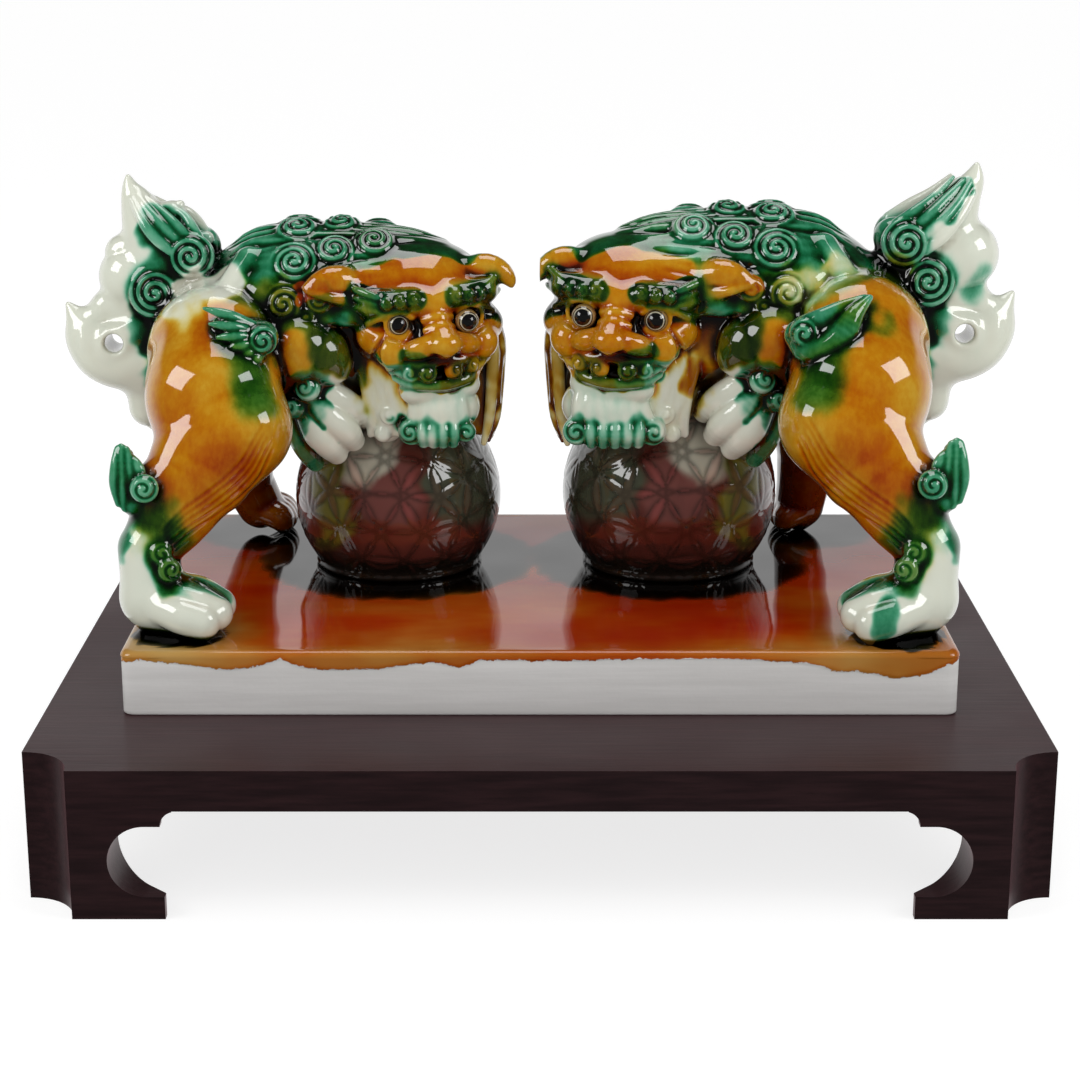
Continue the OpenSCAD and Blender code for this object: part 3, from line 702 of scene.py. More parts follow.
def sculpt_tail(lion):
    """A flame of hair that is pierced at its lower curl."""
    clay = Clay(lion.lattice)
    if lion.right:
        clay.lock([[-150, 6, 118, 15], [-158, 7, 128, 14], [-167, 8, 138, 13], [-175, 8, 149, 11],
                   [-181, 8, 160, 7], [-184.5, 8, 166.5, 4.4], [-185.8, 8, 172.6, 1.3]], 2, 40)
        clay.chain([[-160, 7, 134, 11], [-153, 7, 143, 8.5]], 4)
        clay.chain([[-168, 8, 128, 14], [-182, 8, 136, 14.5]], 4)
        ridges = [[[-158, -4, 147, 2.2], [-165, -4, 153, 2.6], [-173, 0, 160, 2.2], [-180, 4, 166.5, 1.2]],
                  [[-161, -5.5, 144, 2.2], [-168, -5.5, 149.5, 2.8], [-176, -2, 157, 2.2],
                   [-182.5, 3, 166, 1.2]],
                  [[-164.5, -6, 140, 2.2], [-171, -6, 145.5, 2.8], [-178, -3, 153, 2.2],
                   [-184, 2, 162, 1.2]],
                  [[-152, -2, 150, 2.0], [-160, -1.5, 155, 2.4], [-168.5, 2, 161, 1.8],
                   [-176, 5, 168, 1.0]]]
    else:
        clay.lock([[-150, 6, 118, 15], [-158, 7, 130, 15], [-163, 8, 142, 14], [-167, 8, 153, 11],
                   [-171, 8, 163, 7], [-173.6, 8, 169, 3.9], [-174.7, 8, 174.6, 1.2]], 2, 40)
        clay.chain([[-161, 8, 138, 13], [-150, 7.5, 146, 7.5], [-142, 7, 148.5, 3]], 4)
        clay.chain([[-165, 8, 150, 11], [-156.5, 8, 158.5, 6], [-153, 8, 162.5, 2.2]], 3)
        clay.chain([[-162, 8, 128, 14], [-175, 8, 132, 14], [-178, 8, 142, 8]], 4)
        ridges = [[[-149, -3.5, 150.5, 2.2], [-153.5, -3.0, 155, 2.6], [-159, -0.5, 160, 2.2],
                   [-165.5, 4, 165.5, 1.2]],
                  [[-153, -5, 149.5, 2.2], [-158, -4.5, 154, 2.8], [-163.5, -2, 159.5, 2.4],
                   [-169.5, 3, 166.5, 1.2]],
                  [[-156, -7, 145.5, 2.2], [-161.5, -6.5, 150.5, 2.8], [-167, -4, 157, 2.4],
                   [-172.5, 2, 166, 1.2]],
                  [[-144, -1.5, 150, 1.8], [-147, -0.5, 154.5, 2.2], [-150.5, 2, 159, 1.8],
                   [-156, 5, 162.5, 1.0]]]
    for row in ridges:
        clay.lock(row, 1.0, 14)
        clay.lock([[x, 16 - y, z, r] for x, y, z, r in row], 1.0, 14)
    # the lower curl sweeps round the pierced hole to its own tip
    clay.lock([[-153, 6, 116, 13], [-159, 8, 100, 13], [-170, 8, 95.5, 12.5], [-181, 8, 94.5, 12],
               [-190, 8, 98.5, 11.5],
                [-195.1, 8, 106, 9.3], [-199.4, 8, 114, 4.7], [-203.1, 8, 120, 1.2]], 3, 40)
    clay.chain([[-194, 8, 105, 9], [-191, 8, 114, 6.5], [-186, 8, 118.5, 7.5], [-176, 8, 119, 9]], 4)
    clay.groove([[-170, 20.5, 108, 1.0], [-170, 20.5, 100, 1.2], [-178, 20.5, 91, 1.2],
                 [-188, 19, 93, 1.0]], 1.5, 12)
    for y, deep in ((-4.6, -2.1), (20.6, 18.1)):
        clay.groove([[-193, y, 117, 0.4], [-198, deep, 110, 1.0], [-199, deep, 103, 1.0],
                     [-194, y, 95, 0.4]],
                    1.5, 12)
    # leaf below
    clay.chain([[-160, 8, 98, 12], [-170, 11, 86, 11], [-170.5, 12, 74, 9], [-166, 12, 65, 4]], 5)
    x, z = (-182.4, 104.7)
    clay.chain([[-166, 7, 112, 11], [x, 4, z, 9.5], [x, 12, z, 9.5]], 3)
    clay.take(*clay.rods([[x, -14, z, 6.2], [x, -2, z, 4.0], [x, 18, z, 4.0], [x, 30, z, 6.2]], 2), 1.6)
    return clay


def sculpt_tail_curls(lion):
    """Two curls on either face of the tail."""
    clay = Clay(lion.lattice)
    if lion.right:
        spots = [(-156, 142.5, 10), (-165.5, 127, 11.2)]
    else:
        spots = [(-147.2, 142.6, 9.8), (-162.8, 127, 12)]
    for side in (-1, 1):
        y = -4.5 if side < 0 else 20.5
        for i, (x, z, r) in enumerate(spots):
            turn = side if i else -side
            clay.curl((x, y, z), (0.0, side, 0.12), r, 7.0, pitch=3.5, depth=2.2, turn=turn,
                      start=0.3 + 0.2 * i, k=1.0)
    return clay


# name of the part, its sculpting, softness of its joint, and its glaze as amounts of amber, green and black
PARTS = [
    ("torso", sculpt_torso, 3.0, (1.0, 0.1, 0.0)),
    ("near_hind_leg", sculpt_near_hind_leg, 7.0, (1.0, 0.0, 0.0)),
    ("far_hind_leg", sculpt_far_hind_leg, 6.0, (2.2, 0.1, 0.3)),
    ("tail", sculpt_tail, 4.0, (0.02, 0.03, 0.0)),
    ("mane", sculpt_mane, 2.0, (0.1, 1.1, 0.0)),
    ("near_foreleg", sculpt_near_foreleg, 1.6, (0.8, 0.35, 0.0)),
    ("far_foreleg", sculpt_far_foreleg, 5.0, (1.6, 0.2, 0.2)),
    ("head", sculpt_head, 4.0, (1.3, 0.0, 0.0)),
    ("chest_ruff", sculpt_chest_ruff, 1.2, (0.12, 0.0, 0.0)),
    ("side_locks", sculpt_side_locks, 1.2, (1.3, 0.1, 0.2)),
    ("beard", sculpt_beard, 1.2, (0.06, 0.16, 0.0)),
    ("near_ear", sculpt_near_ear, 2.5, (1.3, 0.0, 0.0)),
    ("far_ear", sculpt_far_ear, 2.5, (1.3, 0.0, 0.0)),
    ("near_brow", lambda lion: sculpt_brow(lion, -1), 1.2, (0.4, 1.3, 0.1)),
    ("far_brow", lambda lion: sculpt_brow(lion, 1), 1.2, (0.5, 1.2, 0.1)),
    ("near_hock_tuft", lambda lion: sculpt_hock_tuft(lion, True), 1.2, (0.15, 1.2, 0.0)),
    ("far_hock_tuft", lambda lion: sculpt_hock_tuft(lion, False), 1.2, (0.15, 1.2, 0.0)),
    ("hip_flame", sculpt_hip_flame, 1.0, (0.15, 1.2, 0.0)),
    ("tail_curls", sculpt_tail_curls, 1.2, (0.05, 1.1, 0.0)),
    ("mane_curls", sculpt_mane_curls, 1.2, (0.1, 1.2, 0.0)),
]


def blur(field, passes):
    for _ in range(passes):
        for axis in range(3):
            f = np.moveaxis(field, axis, 0)
            out = field.copy()
            o = np.moveaxis(out, axis, 0)
            o[1:-1] = 0.25 * f[:-2] + 0.5 * f[1:-1] + 0.25 * f[2:]
            field = out
    return field


def polygons(field, lo, pitch):
    """The surface of a field: points in mm, and faces of four corners, where a triangle repeats its last."""
    grid = openvdb.FloatGrid(CLAMP)
    grid.copyFromArray(np.ascontiguousarray(np.clip(field, -CLAMP, CLAMP), np.float32), tolerance=0.0)
    points, tris, quads = grid.convertToPolygons(0.0, 0.0)
    faces = np.vstack([quads, np.hstack([tris, tris[:, 2:]])]).astype(np.int64)
    return points.astype(np.float64) * pitch + lo, faces


def edges_of(faces):
    """Each edge once, as a pair of points."""
    pairs = np.vstack([faces[:, [i, (i + 1) % 4]] for i in range(4)])
    pairs = pairs[pairs[:, 0] != pairs[:, 1]]
    return np.unique(np.sort(pairs, axis=1), axis=0)


def islands(count, edges):
    """A label for each point, the same all over one connected surface."""
    label = np.arange(count)
    while True:
        low = np.minimum(label[edges[:, 0]], label[edges[:, 1]])
        new = label.copy()
        np.minimum.at(new, edges[:, 0], low)
        np.minimum.at(new, edges[:, 1], low)
        new = new[new]
        new = new[new]
        if (new == label).all():
            return label
        label = new


def polish(points, faces, least=150):
    """Drops specks of clay and fairs the surface without shrinking it."""
    edges = edges_of(faces)
    label = islands(len(points), edges)
    size = np.bincount(label, minlength=len(points))
    keep = size[label] >= least
    faces = faces[keep[faces[:, 0]]]
    new = np.cumsum(keep) - 1
    points = points[keep]
    faces = new[faces]
    edges = new[edges[keep[edges[:, 0]]]]
    a, b = edges.T
    degree = np.bincount(a, minlength=len(points)) + np.bincount(b, minlength=len(points))
    for amount in (0.55, -0.56, 0.55, -0.56, 0.5, -0.35):
        mean = np.empty_like(points)
        for i in range(3):
            mean[:, i] = np.bincount(a, points[b, i], len(points))
            mean[:, i] += np.bincount(b, points[a, i], len(points))
        mean /= degree[:, None]
        points = points + amount * (mean - points)
    return points, faces


def smooth(t):
    t = np.clip(t, 0, 1)
    return t * t * (3 - 2 * t)


def near_line(points, a, b, r, soft):
    """1 within r of the line from a to b, falling to 0 over the distance soft."""
    a, b = vec(a), vec(b)
    ab = b - a
    t = np.clip((points - a) @ ab / max(ab @ ab, 1e-9), 0, 1)
    d = np.linalg.norm(points - a - t[:, None] * ab, axis=1)
    return smooth(1 - (d - r) / soft)


# glazes as amounts of amber, green and black
CREAM = (0.03, 0.02, 0.0)
# pale pink: on the left lion's haunch it is partly a painted highlight
PINK = (0.22, 0.0, 0.0)
RUST = (1.9, 0.0, 0.15)
OLIVE = (0.9, 0.55, 0.1)
GREEN = (0.1, 1.2, 0.0)
PALE_GREEN = (0.03, 0.45, 0.0)
FILLET = (1.2, 1.0, 1.8)            # where glaze gathers at the foot of what stands on the slab


def wander(points, amount):
    """The points moved by slow waves, so that painted edges run unevenly."""
    x, y, z = points.T
    waves = np.stack([1.5 * np.sin(0.31 * z + 0.17 * y) + 0.8 * np.sin(0.83 * z - 0.4 * x + 1.0),
                      1.3 * np.sin(0.27 * x + 0.23 * z + 2.0),
                      1.5 * np.sin(0.29 * x - 0.21 * y + 0.5) + 0.9 * np.sin(0.77 * x + 0.35 * y)], axis=1)
    return points + amount * waves


def strokes_of(lion):
    """Strokes of glaze, and a few of painted shade and highlight: from, to, radius, softness, and the
    amounts of amber, green and black there.
    """
    face = lion.face
    with_turn = lion.turned
    rows = [
        # olive flank and shoulder below the mane, an amber band down the arm
        ((-124, -22, 126), (-96, -26, 124), 6, 9, OLIVE),
        ((-115, -32, 108), (-112, -22, 92), 5, 8, (0.7, 0.8, 0.1)),
        ((-90, -34, 110), (-86, -28, 96), 5.5, 7, (0.9, 0.65, 0.35)),
        ((-103, -36, 112), (-100, -36, 94), 3.5, 6, (1.25, 0.0, 0.0)),
        # green over the hip, below the flame
        ((-124, -48, 106), (-117, -60, 90), 4, 11, (0.7, 0.9, 0.0)),
        ((-140, -20, 134), (-128, -28, 128), 3, 6, OLIVE),
        # deeper amber towards the shank
        ((-142, -66, 50), (-124, -66, 60), 8, 18, (1.55, 0.0, 0.03)),
        # shank from amber through olive to a white foot
        ((-154, -74, 42), (-156, -80, 31), 8, 11, (0.9, 0.7, 0.1)),
        ((-171, -72, 54), (-173, -74, 28), 7, 7, (0.1, 1.3, 0.0)),
        ((-166, -78, 36), (-166, -82, 24), 5, 10, (0.12, 0.25, 0.0)),
        ((-158, -84, 12), (-132, -86, 8), 14, 9, CREAM),
        ((-164, -80, 24), (-160, -80, 14), 7, 9, CREAM),
        ((-148, -84, 25), (-129, -80, 17), 2.6, 5, (0.15, 1.2, 0.1)),
        ((-146, -88, 20), (-133, -92, 9), 0.8, 3, (0.05, 0.5, 0.0)),
        ((-150, -86, 30), (-147, -82, 36), 4, 5, (0.5, 0.9, 0.1)),
        ((-172.5, -76, 52), (-175, -78, 32), 4.5, 5, (0.1, 1.2, 0.0)),
        ((-154, -86, 34), (-151, -90, 25), 3.5, 5, (0.5, 0.9, 0.05)),
        # paw on the ball
        ((-93, -24, 84), (-80, -16, 62), 12, 6, CREAM),
        ((-98, -24, 76), (-88, -18, 56), 8, 5, CREAM),
        ((-98, -28, 92), (-105, -26, 80), 6, 6, GREEN),
        ((-104, -18, 78), (-96, -10, 50), 6, 4, (0.25, 1.0, 0.1)),
        ((-95, -29, 86), (-93, -29, 80), 2.0, 5, PALE_GREEN),
        ((-94.5, -26, 87), (-87.5, -25.5, 80.7), 0.6, 2.2, (0.03, 0.9, 0.0)),
        ((-87.5, -25.5, 80.7), (-81, -21, 73.6), 0.3, 2.0, (0.03, 0.5, 0.0)),
        ((-97, -26, 81.5), (-91.7, -27, 74), 0.6, 2.2, (0.03, 0.9, 0.0)),
        ((-91.7, -27, 74), (-86, -23, 67), 0.3, 2.0, (0.03, 0.5, 0.0)),
        ((-101.7, -24, 77.5), (-95.5, -23.5, 64), 0.6, 2.2, (0.1, 1.0, 0.0)),
        # far feet
        ((-122, 78, 12), (-112, 78, 6), 9, 8, RUST),
        # the head is green where it meets the mane
        (face(-27, -36, 26), face(-8, -32, 29), 9, 5, (0.3, 1.3, 0.05)),
        (face(-8, -30, 29), face(6, -28, 28), 15.5, 4, (0.3, 1.3, 0.05)),
        (face(8, -28, 26), face(18, -28, 22), 16.5, 4, (0.3, 1.3, 0.05)),
        (face(18, -27, 20), face(31, -20, 14), 10, 5, (0.4, 1.2, 0.05)),
        (face(-25, -11, 17), face(-14, -7, 19), 4, 4, (1.25, 0.0, 0.0)),
        # brows
        (face(-33, -12, 13), face(-20, 1, 10.5), 3.0, 2.6, (0.25, 1.9, 0.1)),
        (face(-17, 4.5, 9.6), face(-8, 5.5, 10), 3.0, 2.2, (0.9, 1.1, 0.2)),
        (face(8, 5.5, 10), face(12, 5, 10), 3.0, 2.2, (1.0, 0.9, 0.15)),
        (face(16, 4, 9.6), face(31, -10, 11.5), 3.2, 2.6, (0.5, 1.8, 0.25)),
        # painted shade below the near brow
        (face(-28, -5, 5.8), face(-13, 4.5, 6.2), 1.4, 2.4, (1.0, 0.9, 0.15)),
        # moustache, the shadow below the nose, and the lips
        (face(-4, 9, -15.4), face(5, 9, -15.4), 2.0, 2.5, (2.4, 0.3, 0.8)),
        (face(-24, -1, -16.5), face(-13, 6, -20.5), 3.6, 3.0, (0.08, 0.8, 0.0)),
        (face(-9, 9, -20), face(-4, 11, -20.6), 3.2, 2.4, (0.9, 1.0, 0.15)),
        (face(7, 10, -20), face(13, 7, -20.2), 3.0, 2.6, (1.4, 0.5, 0.1)),
        (face(15, 6, -20), face(22, 0, -18), 2.4, 2.4, (1.1, 0.3, 0.0)),
        (face(2, 4, -20.5), face(4, 5, -20.5), 3.0, 2.6, (1.9, 0.3, 0.5)),
        (face(-15, 3, -31.5), face(16, 3, -31.5), 4.2, 2.6, (0.05, 0.14, 0.0)),
        (face(-10, 6, -35), face(12, 6, -35), 5.5, 2.6, (0.05, 0.14, 0.0)),
        (face(-19, -2, -23.4), face(-10, 7, -25.6), 2.6, 2.0, (0.15, 0.7, 0.0)),
        (face(-10, 7, -25.6), face(1, 9.5, -26.6), 2.4, 2.0, (0.5, 0.8, 0.1)),
        (face(1, 9.5, -26.6), face(12, 6.5, -25.4), 2.4, 2.0, (1.0, 0.6, 0.15)),
        # painted shadow in the gap under the lower lip
        (face(3, 6, -29.2), face(18, 0, -27.2), 0.9, 1.8, (0.8, 0.8, 0.9)),
        (face(-15, 7, -12.5), face(-9, 11, -13.0), 2.0, 2.6, (0.8, 0.8, 0.05)),
        # ears
        (with_turn(-98, -25, 132), with_turn(-80, -17, 131), 4.8, 1.4, (1.4, 0.0, 0.05)),
        # temples, and painted shade below the far brow
        (face(-24, -4, 3), face(-29, -8, 2), 2.4, 4, (0.9, 0.8, 0.1)),
        (face(22, -2, 5), face(28, -8, -2), 3.8, 4, (0.8, 1.5, 0.7)),
        # the inner corners of the eyes painted near black
        (face(-8, 0, 3), face(-8.6, 2, -2.5), 1.5, 2.2, (2.2, 0.5, 1.5)),
        (face(8.2, 0, 4), face(8.8, 2, -1.5), 1.7, 2.2, (2.2, 0.5, 1.7)),
        (face(-31, -20, -10), face(-30, -16, -24), 2.6, 5, OLIVE),
        # beard's row of green curls
        (with_turn(-56, -22, 70), with_turn(-30, -22, 70), 4.8, 5, (0.05, 1.0, 0.0)),
        # tail: green at the root and up the flame, cream at the tips
        ((-150, 4, 132), (-157, 6, 112), 14, 10, (0.05, 1.2, 0.0)),
        ((-150, -4, 149), (-160, -4, 156), 5, 9, (0.03, 0.9, 0.0)),
        ((-162, -2, 110), (-160, 2, 94), 5, 8, (0.1, 1.2, 0.1)),
    ]
    # brown strands between the pale ones beside the far cheek
    for i in range(6):
        strand = side_strand(lion, i)
        amounts = (2.2, 0.2, 0.5) if i % 2 else (0.3, 0.04, 0.0)
        for a, b in zip(strand[:-1], strand[1:]):
            rows.append((a[:3], b[:3], 1.6, 2.4, amounts))
    if lion.right:
        rows += [
            ((-128, -20, 132), (-114, -26, 126), 6, 9, (0.3, 0.25, 0.0)),
            ((-152, -10, 132), (-146, -26, 120), 4, 7, OLIVE),
            ((-130, -44, 118), (-140, -40, 112), 5, 8, (0.9, 0.7, 0.0)),
            ((-190, -4, 128), (-186, -2, 122), 3, 6, PALE_GREEN),
            (face(-30, -14, -22), face(-29, -12, -28), 3, 4, RUST),
            ((-157, -3, 147), (-177, 0, 163), 4.5, 4, (0.05, 1.1, 0.0)),
            ((-141, -95, 20), (-140, -98, 7), 3.0, 4, (0.05, 0.8, 0.0)),
        ]
    else:
        rows += [
            # cream and pink glaze over the rump and down the haunch, painted paler in part as a highlight
            ((-146, -14, 128), (-136, -24, 136), 8.5, 7, CREAM),
            ((-148, -26, 126), (-142, -34, 118), 6, 6, CREAM),
            ((-144, -28, 124), (-140, -42, 108), 5, 8, PINK),
            ((-134, -10, 138), (-128, -20, 134), 3, 5, CREAM),
            # an amber spot on the chest ruff
            ((-61.5, -17, 77), (-61.5, -17, 75.5), 1.2, 1.5, (1.2, 0.0, 0.0)),
        ]
    return rows


def paint(lion, points, base):
    """Amounts of amber, green and black glaze at each point."""
    out = base.copy()
    moved = wander(points, 1.0)
    steady = wander(points, 0.25)
    for a, b, r, soft, amounts in strokes_of(lion):
        w = near_line(moved if r > 4 else steady, a, b, r, soft)[:, None]
        out = out * (1 - w) + vec(amounts) * w
    pool = smooth(1 - points[:, 2] / 4.5)[:, None]
    return out * (1 - pool) + vec(FILLET) * pool


def make_mesh(name, points, faces, attributes, flip):
    """A smooth mesh object from points in metres and faces of three or four corners."""
    if flip:
        faces = faces[:, ::-1]
    tri = (faces[:, 0] == faces[:, 1]) | (faces[:, 2] == faces[:, 3])
    sizes = np.where(tri, 3, 4)
    first = np.concatenate([[0], np.cumsum(sizes)[:-1]])
    corners = np.empty(sizes.sum(), np.int32)
    quad_first = first[~tri]
    for i in range(4):
        corners[quad_first + i] = faces[~tri][:, i]
    t = faces[tri]
    if len(t):
        if flip:
            t = t[:, 1:]
        for i in range(3):
            corners[first[tri] + i] = t[:, i]
    mesh = bpy.data.meshes.new(name)
    mesh.vertices.add(len(points))
    mesh.vertices.foreach_set("co", np.ascontiguousarray(points, np.float32).ravel())
    mesh.loops.add(len(corners))
    mesh.loops.foreach_set("vertex_index", corners)
    mesh.polygons.add(len(sizes))
    mesh.polygons.foreach_set("loop_start", first.astype(np.int32))
    mesh.update(calc_edges=True)
    mesh.validate()
    mesh.shade_smooth()
    for key, values in attributes.items():
        layer = mesh.attributes.new(key, "FLOAT_VECTOR", "POINT")
        layer.data.foreach_set("vector", np.ascontiguousarray(values, np.float32).ravel())
    obj = bpy.data.objects.new(name, mesh)
    bpy.context.scene.collection.objects.link(obj)
    return obj


def stand_in(obj, node, material):
    """The piece takes the place of a CAD node and moves with the statue."""
    obj.data.materials.append(material)
    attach(obj, "statue")
    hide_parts(node)


def pile_up(lion):
    """Every part's clay and window, the joined clay, the nearest and second nearest part, and the glaze."""
    lattice = lion.lattice
    whole = np.full(lattice.shape, FAR, np.float32)
    first = np.full(lattice.shape, FAR, np.float32)
    second = np.full(lattice.shape, FAR, np.float32)
    half = tuple((n + 1) // 2 for n in lattice.shape)
    weight = np.full(half, 1e-6, np.float32)
    glaze = np.zeros((3,) + half, np.float32)
    blocks = {}
    for name, sculpt, joint, amounts in PARTS:
        clay = sculpt(lion)
        win = open_block(clay)
        block = clay.field[win].copy()
        blocks[name] = (win, block)
        whole[win] = soft_min(whole[win], block, joint)
        second[win] = np.minimum(second[win], np.maximum(first[win], block))
        first[win] = np.minimum(first[win], block)
        even = tuple(slice(s.start + s.start % 2, s.stop, 2) for s in win)
        rel = tuple(slice(e.start - s.start, None, 2) for e, s in zip(even, win))
        coarse = tuple(slice(e.start // 2, (s.stop + 1) // 2) for e, s in zip(even, win))
        part = np.exp(-np.clip(block[rel], -12, 20) / np.float32(1.3))
        weight[coarse] += part
        for i in range(3):
            glaze[i][coarse] += part * np.float32(amounts[i])
    return blocks, whole, first, second, glaze / weight


def build_lion(side, material):
    """Cuts each part of the lion out of the joined clay, as a mesh of its own."""
    lion = Lion(side)
    lattice = lion.lattice
    blocks, whole, first, second, glaze = pile_up(lion)
    # the glaze pools in a fillet round everything that stands on the slab
    z = lattice.axes[2]
    whole -= np.float32(1.3) * np.maximum(0, 1 - np.maximum(z, 0) / np.float32(3.5)) ** 2
    whole = np.maximum(whole, np.float32(-0.35) - z)
    low = np.clip(whole, -6, 6)
    low = blur(low, 1)
    soft = blur(low, 3)
    # how far the surface stands out of its surroundings: closely, and widely
    relief = (soft - low) / np.float32(0.75 * lattice.pitch ** 2)
    wide = low[::4, ::4, ::4]
    hollow = (blur(wide, 2) - wide) / np.float32(16 * lattice.pitch ** 2 / 2)
    for name, *_ in PARTS:
        win, block = blocks[name]
        other = np.where(block <= first[win], second[win], first[win])
        lead = np.maximum(block - other, 0)
        body = low[win] + np.float32(0.12) * lead * lead
        lo = lattice.lo + lattice.pitch * vec([s.start for s in win])
        points, faces = polygons(body, lo, lattice.pitch)
        points, faces = polish(points, faces, 200)
        base = np.stack([lattice.sample(g, points, 2) for g in glaze], axis=1)
        amounts = paint(lion, points, base)
        form = np.zeros_like(points)
        form[:, 0] = lattice.sample(relief, points)
        form[:, 1] = lattice.sample(hollow, points, 4)
        attributes = {"glaze": amounts, "form": form}
        obj = make_mesh(f"{side}_{name}_glazed", lion.world(points), faces, attributes, lion.right)
        stand_in(obj, f"{side}_{name}", material)
    return lion


RING = 17.2                         # radius of the brocade's rings, mm


def ring_centres(steps):
    """The corners of an icosahedron whose edges are cut in steps, pushed out to the unit sphere."""
    bm = bmesh.new()
    bmesh.ops.create_icosphere(bm, subdivisions=1, radius=1.0)
    corners = [[vec(v.co) for v in f.verts] for f in bm.faces]
    bm.free()
    found = []
    for a, b, c in corners:
        for i in range(steps + 1):
            for j in range(steps + 1 - i):
                p = unit(a * i + b * j + c * (steps - i - j))
                if all(np.linalg.norm(p - q) > 0.05 for q in found):
                    found.append(p)
    return np.array(found)


def ball_wash(points):
    """How much olive, grey green and pale glaze runs over the maroon, on the unit sphere."""
    towards = unit((0.05, -1.0, 0.28))
    side = unit(np.cross(towards, (0, 0, 1))) * -1
    up = np.cross(side, towards) * -1
    u = points @ side
    v = points @ up
    u = u + 0.05 * np.sin(9 * v + 1.0) + 0.03 * np.sin(21 * v)
    front = smooth(0.6 + points @ towards * 1.2)
    olive = smooth(1.15 - np.abs(u + 0.64) / 0.24) * smooth(1.6 - np.abs(v - 0.05) / 0.5)
    grey = smooth((u - 0.14) / 0.3) * smooth(1.1 + v * 2.0)
    pale = smooth(1.35 - np.hypot((u + 0.27) / 0.3, (v - 0.40) / 0.38))
    rose = smooth(1.4 - np.hypot((u + 0.06) / 0.34, (v - 0.0) / 0.36)) * front
    behind = smooth(0.5 - points @ towards * 2) * (0.5 + 0.5 * np.sin(5 * points[:, 0] + 2.0))
    return np.stack([np.maximum(olive * front, 0.8 * behind), grey * front, pale * front], axis=1), rose


def ball_mesh(lion, material):
    """The brocade ball: a sphere with overlapping rings incised all over it."""
    bm = bmesh.new()
    bmesh.ops.create_icosphere(bm, subdivisions=7, radius=1.0)
    points = np.array([v.co for v in bm.verts])
    faces = np.array([[v.index for v in f.verts] for f in bm.faces])
    bm.free()
    turn = np.array(Matrix.Rotation(0.32, 3, "X") @ Matrix.Rotation(0.2, 3, "Z"))
    centres = ring_centres(3) @ turn.T
    angle = np.arccos(np.clip(points @ centres.T, -1, 1)) * lion.ball_r
    line = np.exp(-((angle - RING) / 1.15) ** 2).max(axis=1)
    inside = (angle < RING).sum(axis=1)
    boss = np.exp(-(angle.min(axis=1) / 2.2) ** 2)
    petal = smooth((inside - 3.2) / 0.6)
    depth = 0.15 * line - 0.16 * boss - 0.14 * petal
    local = points * (lion.ball_r - 0.3 - depth)[:, None] + lion.ball_at
    flare = 2.6 * np.exp(-((local[:, 2] - 0.6) / 2.2) ** 2)
    flat = points[:, :2] / np.maximum(np.linalg.norm(points[:, :2], axis=1), 1e-6)[:, None]
    local[:, :2] += flat * flare[:, None]
    local[:, 2] = np.maximum(local[:, 2], -0.3)
    wash, rose = ball_wash(points)
    low = smooth(1 - local[:, 2] / 14.0)
    attributes = {"glaze": np.stack([line, boss, petal], axis=1),
                  "form": np.stack([low, rose, 0 * low], axis=1),
                  "wash": wash}
    faces = np.hstack([faces, faces[:, 2:]])
    obj = make_mesh(f"{lion.side}_ball_glazed", lion.world(local), faces, attributes, lion.right)
    stand_in(obj, f"{lion.side}_ball", material)


# ---------------------------------------------------------------- materials

class Nodes:
    """A short way to write the node tree of a material or a world."""

    def __init__(self, owner):
        self.owner = owner
        owner.use_nodes = True
        self.tree = owner.node_tree
        self.shader = self.tree.nodes.get("Principled BSDF") or self.tree.nodes.get("Background")

    def add(self, kind, inputs=None, **settings):
        node = self.tree.nodes.new(kind)
        for key, value in settings.items():
            setattr(node, key, value)
        for key, value in (inputs or {}).items():
            self.feed(node.inputs[key], value)
        return node

    def feed(self, socket, value):
        if isinstance(value, bpy.types.NodeSocket):
            self.tree.links.new(value, socket)
        elif isinstance(value, bpy.types.Node):
            self.tree.links.new(value.outputs[0], socket)
        else:
            socket.default_value = value

    def math(self, operation, a, b=0.0, clamp=False):
        return self.add("ShaderNodeMath", {0: a, 1: b}, operation=operation, use_clamp=clamp)

    def plus(self, a, b, clamp=False):
        return self.math("ADD", a, b, clamp)

    def minus(self, a, b):
        return self.math("SUBTRACT", a, b)

    def times(self, a, b, clamp=False):
        return self.math("MULTIPLY", a, b, clamp)

    def smooth(self, value, low, high, to_low=0.0, to_high=1.0):
        inputs = {"Value": value, "From Min": low, "From Max": high, "To Min": to_low, "To Max": to_high}
        return self.add("ShaderNodeMapRange", inputs, interpolation_type="SMOOTHSTEP")

    def noise(self, scale, detail=3.0, stretch=(1, 1, 1), roughness=0.5, shift=(0, 0, 0)):
        place = self.add("ShaderNodeTexCoord").outputs["Object"]
        mapping = self.add("ShaderNodeMapping", {"Vector": place, "Scale": stretch, "Location": shift})
        inputs = {"Vector": mapping, "Scale": scale, "Detail": detail, "Roughness": roughness}
        return self.add("ShaderNodeTexNoise", inputs).outputs["Fac"]

    def parts(self, name):
        """The three numbers of a mesh attribute."""
        attribute = self.add("ShaderNodeAttribute", attribute_name=name).outputs["Vector"]
        return self.add("ShaderNodeSeparateXYZ", {0: attribute}).outputs

    def mix(self, factor, a, b):
        node = self.add("ShaderNodeMix", data_type="RGBA")
        self.feed(node.inputs[0], factor)
        self.feed(node.inputs[6], a if not isinstance(a, tuple) else (*a, 1))
        self.feed(node.inputs[7], b if not isinstance(b, tuple) else (*b, 1))
        return node.outputs[2]

    def bump(self, height, distance, strength=1.0):
        bump = self.add("ShaderNodeBump", {"Height": height, "Distance": distance, "Strength": strength})
        self.feed(self.shader.inputs["Normal"], bump)

    def set(self, **values):
        for key, value in values.items():
            self.feed(self.shader.inputs[key.replace("_", " ")], value)


def new_material(name):
    return Nodes(bpy.data.materials.new(name))


